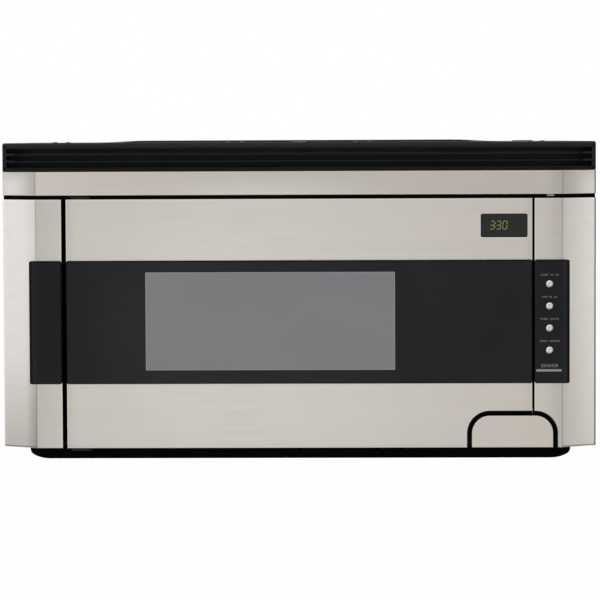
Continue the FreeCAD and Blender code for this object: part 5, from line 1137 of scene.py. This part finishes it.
@dataclass
class PushButtons:
    """Four round silvered buttons, each with plain words over it, and a printed bar below."""

    radius: float = 4.5 * MM
    crown: float = 0.9 * MM
    edge: float = 0.7 * MM
    collar: float = 1.5 * MM
    stem: float = 2.0 * MM
    words: tuple[str, ...] = ("LIGHT  HI  LO", "FAN  HI  LO", "TIMER  CLOCK", "START  MINUTE")
    word_rise: float = 11.6 * MM
    word_height: float = 2.3 * MM
    foot_word: str = "SENSOR"
    foot_drop: float = 19.8 * MM
    bar_drop: float = 25.6 * MM
    bar_half: tuple[float, float] = (16.2 * MM, 1.5 * MM)
    bar_left: float = 0.9 * MM

    def build(self) -> None:
        """Build the caps, the words and the bar."""
        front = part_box("band_right")[0].y - 0.05 * MM
        for index, words in enumerate(self.words, 1):
            node = "button_%d" % index
            low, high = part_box(node)
            centre = ((low.x + high.x) / 2, 0.0, (low.z + high.z) / 2)
            cap = lathe(node + "_cap", self.profile(low.y, high.y), centre, Axis.Y, SILVER, 48)
            settle(cap, Body("button_body_%d" % index), node)
            place = (centre[0], centre[2] + self.word_rise)
            lettering(node + "_words", words, place, self.word_height, front, PRINT)
        place = (centre[0], centre[2] - self.foot_drop)
        lettering("foot_word", self.foot_word, place, self.word_height * 1.7, front, PRINT)
        across, up = self.bar_half
        middle = centre[2] - self.bar_drop
        start = centre[0] - self.bar_left
        outline = rounded_outline(start - across, start + across, middle - up, middle + up, (up * 0.6,) * 4)
        bar = plate("printed_bar", outline, front, front + 0.04 * MM, 0.01 * MM, PRINT, 1)
        settle(bar, Body.CHASSIS)

    def profile(self, front: float, back: float) -> list[tuple[float, float]]:
        """Radius and depth round the cap, its collar and its stem, from the axis outwards and back."""
        rim, crown, radius = front + self.crown, self.crown, self.radius
        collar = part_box("trim_right")[0].y + 1.3 * MM
        return [
            (ON_AXIS, front + crown * 0.45),
            (radius * 0.3, front + crown * 0.4),
            (radius * 0.5, front),
            (radius * 0.7, front + crown * 0.3),
            (radius - self.edge, rim),
            (radius, rim + self.edge),
            (radius, collar),
            (radius + self.collar, collar),
            (radius + self.collar, collar + 1.0 * MM),
            (self.stem, collar + 1.0 * MM),
            (self.stem, back),
            (ON_AXIS, back),
        ]


# Door


@dataclass
class Door:
    """Steel skin, glass band, window, and the lens's border and clock; the arched handle and the lens itself
    are dressed with the plain pieces.
    """

    skin_edge: float = 0.9 * MM
    glass_edge: float = 1.3 * MM
    digit_height: float = 11.2 * MM
    digit_width: float = 6.0 * MM
    digit_pitch: float = 8.0 * MM
    digit_stroke: float = 0.95 * MM
    digit_slant: float = 0.1
    border_width: float = 0.7 * MM
    lens_rim: tuple[float, ...] = (2.5 * MM, 1.25 * MM, 2.5 * MM, 2.5 * MM)
    lens_corner: float = 2.4 * MM

    def build(self) -> None:
        """Dress the door from its outside inwards."""
        low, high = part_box("door_skin")
        borders = (low.x, high.x, low.z, high.z)
        # Painted highlight inside the skin's borders, and painted shade at its foot and its ends.
        steel = BrushedSteel("door_skin_steel", borders=borders, low_painted_shade=0.06, end_painted_shade=0.09)
        edged("door_skin", "door_skin_sheet", Body.DOOR, steel, self.skin_edge)
        # Painted shade along the glass's top.
        glass = replace(DOOR_GLASS, name="door_glass_black", top_at=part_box("door_glass")[1].z)
        edged("door_glass", "door_glass_panel", Body.DOOR, glass, self.glass_edge)
        self.build_lens_border()
        self.build_window()
        self.build_clock()

    def build_lens_border(self) -> None:
        """A painted highlight of the steel's cut edge round the lens: a thin bright closed ring on the skin's
        face.
        """
        low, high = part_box("display_lens")
        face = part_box("door_skin")[0].y
        left, right, below, above = self.lens_rim
        sides = (low.x + left, high.x - right, low.z + below, high.z - above)
        inner = rounded_outline(*sides, (self.lens_corner,) * 4)
        outer = inset_outline(inner, -self.border_width)
        front, back = face - 0.06 * MM, face + 0.1 * MM
        rings = ((inner, front), (outer, front), (outer, back), (inner, back))
        rows = [upright(ring, y) for ring, y in rings]
        border = surface("lens_border", np.array(rows), CUT_STEEL_HIGHLIGHT, wrap_rows=True)
        settle(border, Body.DOOR)

    def build_window(self) -> None:
        """The window's screened area, just proud of the panel, with a lighter hair line round its edge."""
        low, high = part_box("window_screen")
        border = 9.0 * MM
        left, right = low.x + border, high.x - border
        bottom, top = low.z + border, high.z - border
        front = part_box("door_glass")[0].y
        outline = rounded_outline(left, right, bottom, top, (0.6 * MM,) * 4)
        look = ScreenedWindow(
            "window_screen_look",
            middle=((left + right) / 2, (bottom + top) / 2),
            half=((right - left) / 2, (top - bottom) / 2),
        )
        pane = plate("window_pane", outline, front - 0.06 * MM, front + 0.4 * MM, 0.04 * MM, look, 2)
        settle(pane, Body.DOOR)

    def segment_strokes(self, digit: str) -> list[np.ndarray]:
        """The lit bars of a seven-segment digit, each a flat six-sided stroke."""
        width, height, thick = self.digit_width, self.digit_height, self.digit_stroke
        half_w, half_h = width / 2 - thick / 2, height / 2 - thick / 2
        gap = thick * 0.25
        runs = {
            "a": ((-half_w, half_h), (half_w, half_h)),
            "b": ((half_w, half_h), (half_w, 0)),
            "c": ((half_w, 0), (half_w, -half_h)),
            "d": ((-half_w, -half_h), (half_w, -half_h)),
            "e": ((-half_w, 0), (-half_w, -half_h)),
            "f": ((-half_w, half_h), (-half_w, 0)),
            "g": ((-half_w, 0), (half_w, 0)),
        }
        lit = {"0": "abcdef", "3": "abcdg"}[digit]
        strokes = []
        for key in lit:
            a, b = (np.array(end, float) for end in runs[key])
            leg = (b - a) / np.linalg.norm(b - a)
            side = np.array([-leg[1], leg[0]]) * thick / 2
            a, b = a + leg * gap, b - leg * gap
            tip = leg * thick / 2
            strokes.append(np.array([a, a + tip - side, b - tip - side, b, b - tip + side, a + tip + side]))
        return strokes

    def build_clock(self) -> None:
        """Three slanted digits and a colon, lying on the lens."""
        low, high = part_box("display_lens")
        centre = np.array([(low.x + high.x) / 2 - 6.3 * MM, (low.z + high.z) / 2 + 0.3 * MM])
        points, faces, shapes = [], [], []
        for index, digit in enumerate("330"):
            offset = (index - 1) * self.digit_pitch
            shapes += [stroke + [offset, 0.0] for stroke in self.segment_strokes(digit)]
        dot = self.digit_stroke * 0.5
        for height in (-0.2, 0.2):
            middle = np.array([-self.digit_pitch / 2, height * self.digit_height])
            shapes.append(middle + np.array([[-dot, -dot], [dot, -dot], [dot, dot], [-dot, dot]]))
        y = low.y - 0.05 * MM
        for shape in shapes:
            slanted = shape + shape[:, 1:] * [self.digit_slant, 0.0] + centre
            start = len(points) and faces[-1][-1] + 1
            points.append(upright(slanted, y))
            faces.append(list(range(start, start + len(slanted))))
        settle(new_piece("display_digits", np.vstack(points), faces, DIGITS), Body.DOOR)


# The rest of the case


# Node, piece, body, finish, and radius of the edges in millimetres.
PRESSED = (
    ("display_lens", "display_lens_panel", Body.DOOR, LENS_BLACK, 0.3),
    ("choke_cover", "choke_cover_ring", Body.DOOR, BLACK, 0.4),
    ("door_back_cover", "door_back_moulding", Body.DOOR, BLACK, 0.4),
    ("handle_bezel", "handle_recess_liner", Body.DOOR, BLACK, 0.3),
    ("trim_recess", "trim_recess_liner", Body.CHASSIS, BLACK, 0.3),
    ("outer_case", "outer_case_sheet", Body.CHASSIS, CASE_PAINT, 0.5),
    ("grease_filter_left", "grease_filter_left_mesh", Body.LEFT_FILTER, MESH, 0.4),
    ("grease_filter_right", "grease_filter_right_mesh", Body.RIGHT_FILTER, MESH, 0.4),
    ("lamp_cover", "lamp_cover_pane", Body.LAMP_DOOR, CLEAR, 0.4),
    ("key_panel", "key_panel_moulding", Body.CHASSIS, KEY_GREY, 0.5),
    ("key_overlay", "key_overlay_film", Body.CHASSIS, KEY_FILM, 0.25),
)


def dress_plain_nodes() -> None:
    """Dress the pieces whose form needs only rounded edges, given in millimetres."""
    for node, name, body, finish, edge in PRESSED:
        pressed(node, name, body, finish, edge * MM)
    pressed("base_pan", "base_pan_sheet", Body.CHASSIS, PAN_PAINT, 0.6 * MM, 2, 50.0)
    paddle = ("handle_paddle", "handle_paddle_steel", Body.HANDLE, PADDLE_STEEL, 0.45 * MM)
    # The paddle's returns carry the painted shade of the steel's returns.
    pressed(*paddle, 3, 40.0, PADDLE_STEEL, STEEL_RETURN_SHADE)


@dataclass
class Turntable:
    """Glass tray turned from its rim profile."""

    gauge: float = 5.0 * MM
    rim_height: float = 14.0 * MM
    rim_width: float = 9.0 * MM

    def build(self) -> None:
        """Turn the tray with a rounded rim and a raised ring under its middle."""
        low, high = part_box("glass_tray")
        radius = (high.x - low.x) / 2
        centre = ((low.x + high.x) / 2, (low.y + high.y) / 2, low.z)
        inner = radius - self.rim_width
        lip = self.gauge / 2
        rim = arc((radius - lip, self.rim_height - lip), lip, -10, 170, 8)
        profile = [(ON_AXIS, 0.0), (inner, 0.0), (inner + 2 * MM, 0.6 * MM), *map(tuple, rim)]
        profile += [(inner - self.gauge * 0.3, self.gauge + 1.2 * MM), (inner - 6 * MM, self.gauge)]
        profile += [(ON_AXIS, self.gauge)]
        tray = lathe("glass_tray_turned", profile, centre, Axis.Z, TRAY_GLASS, 128)
        settle(tray, Body.TURNTABLE, "glass_tray")


def dress_carried_nodes() -> None:
    """Give each CAD node that is shown as it is its finish."""
    for finish, nodes in CARRIED.items():
        for node in nodes:
            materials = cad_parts[node].data.materials
            materials.clear()
            materials.append(finish.material())
            log.info("%s: carried over in %s", node, finish.name)


# Studio


@dataclass(frozen=True)
class Studio:
    """Camera, lamps, floor and world."""

    camera_place: tuple[float, float, float] = (0.03283, -2.590, 0.415)
    tilt: float = -0.03497
    yaw: float = -0.01290
    roll: float = -0.00399
    focal_px: float = 1891.35
    image_px: float = 600.0
    shift_up: float = -0.16
    floor_drop: float = 1.45
    floor_glow: float = 0.7
    floor_size: float = 12.0
    lamp_colour: tuple[float, float, float] = (0.96, 1.04, 1.2)
    lamp_target: tuple[float, float, float] = (0.0, -0.19, 0.2)

    def build(self) -> None:
        """Set up the whole studio."""
        self.build_camera()
        self.build_world()
        self.build_floor()
        self.build_lamps()
        bpy.context.scene.view_settings.view_transform = "Standard"

    def build_camera(self) -> None:
        """A long lens nearly level with the top of the case."""
        lens = bpy.data.cameras.new("camera")
        lens.sensor_width = 36.0
        lens.lens = self.focal_px / self.image_px * lens.sensor_width
        lens.shift_y = self.shift_up
        lens.clip_start, lens.clip_end = 0.05, 50.0
        camera = link("camera", lens)
        turn = Matrix.Rotation(-self.yaw, 4, "Z") @ Matrix.Rotation(math.pi / 2 + self.tilt, 4, "X")
        turn @= Matrix.Rotation(self.roll, 4, "Z")
        camera.matrix_world = Matrix.Translation(self.camera_place) @ turn
        bpy.context.scene.camera = camera

    def build_world(self) -> None:
        """An even white world."""
        world = bpy.data.worlds.new("studio")
        board = NodeBoard(world, "ShaderNodeOutputWorld")
        white = board.node("ShaderNodeBackground", Color=WHITE, Strength=1.0)
        board.feed(board.output, "Surface", white.outputs[0])
        bpy.context.scene.world = world

    def build_floor(self) -> None:
        """A wide pale floor, as far down as a kitchen's, near white to the eye and clear from below."""
        board = NodeBoard(bpy.data.materials.new("floor_paper"))
        shade_of = board.span(board.noise(300.0), 0.3, 0.7, 0.97, 0.99)
        paper = board.tint(WHITE, shade_of)
        board.set(Base__Color=paper, Roughness=0.8, Specular__IOR__Level=0.1)
        rays = board.node("ShaderNodeLightPath").outputs
        seen = board.maths("MAXIMUM", rays["Is Camera Ray"], rays["Is Glossy Ray"])
        seen = board.maths("MAXIMUM", seen, rays["Is Transmission Ray"])
        white = board.node("ShaderNodeEmission", Color=WHITE, Strength=1.0).outputs[0]
        above = board.mix(seen * self.floor_glow, board.shader.outputs[0], white)
        below = board.node("ShaderNodeNewGeometry").outputs["Backfacing"]
        clear = board.node("ShaderNodeBsdfTransparent").outputs[0]
        board.feed(board.output, "Surface", board.mix(below, above, clear))
        size, level = self.floor_size, -self.floor_drop
        corners = [(-size, -size, level), (size, -size, level), (size, size, level), (-size, size, level)]
        mesh = bpy.data.meshes.new("floor")
        mesh.from_pydata(corners, [], [(0, 1, 2, 3)])
        mesh.materials.append(board.owner)
        link("floor", mesh)

    def build_lamps(self) -> None:
        """A tall lamp behind the lens, one low lamp for each wing, and a soft one above."""
        lamps = {
            "front": ((-0.21, -3.1, -0.15), (0.8, 0.75), 1.0),
            "left": ((-2.7, -2.1, 0.1), (0.8, 0.7), 2.1),
            "right": ((2.75, -2.0, 0.1), (0.8, 0.7), 1.3),
            "above": ((0.0, -0.4, 2.2), (1.6, 1.6), 0.1),
        }
        target = Vector(self.lamp_target)
        for name, (place, (width, height), brightness) in lamps.items():
            light = bpy.data.lights.new(name, "AREA")
            light.shape = "RECTANGLE"
            light.size, light.size_y = width, height
            light.energy = brightness * math.pi * width * height
            light.color = self.lamp_colour
            lamp = link(name, light)
            lamp.visible_camera = False
            lamp.location = place
            lamp.rotation_mode = "QUATERNION"
            lamp.rotation_quaternion = (target - Vector(place)).to_track_quat("-Z", "Y")


def main() -> None:
    """Dress every piece, then set up the studio."""
    logging.basicConfig(level=logging.INFO, format="%(name)s: %(message)s")
    plan = FrontPlan()
    dress_carried_nodes()
    VentGrille(plan).build()
    TopBand(plan).build()
    SideTrims(plan).build()
    PushButtons().build()
    Door().build()
    dress_plain_nodes()
    Turntable().build()
    Studio().build()


if __name__ == "__main__":
    main()
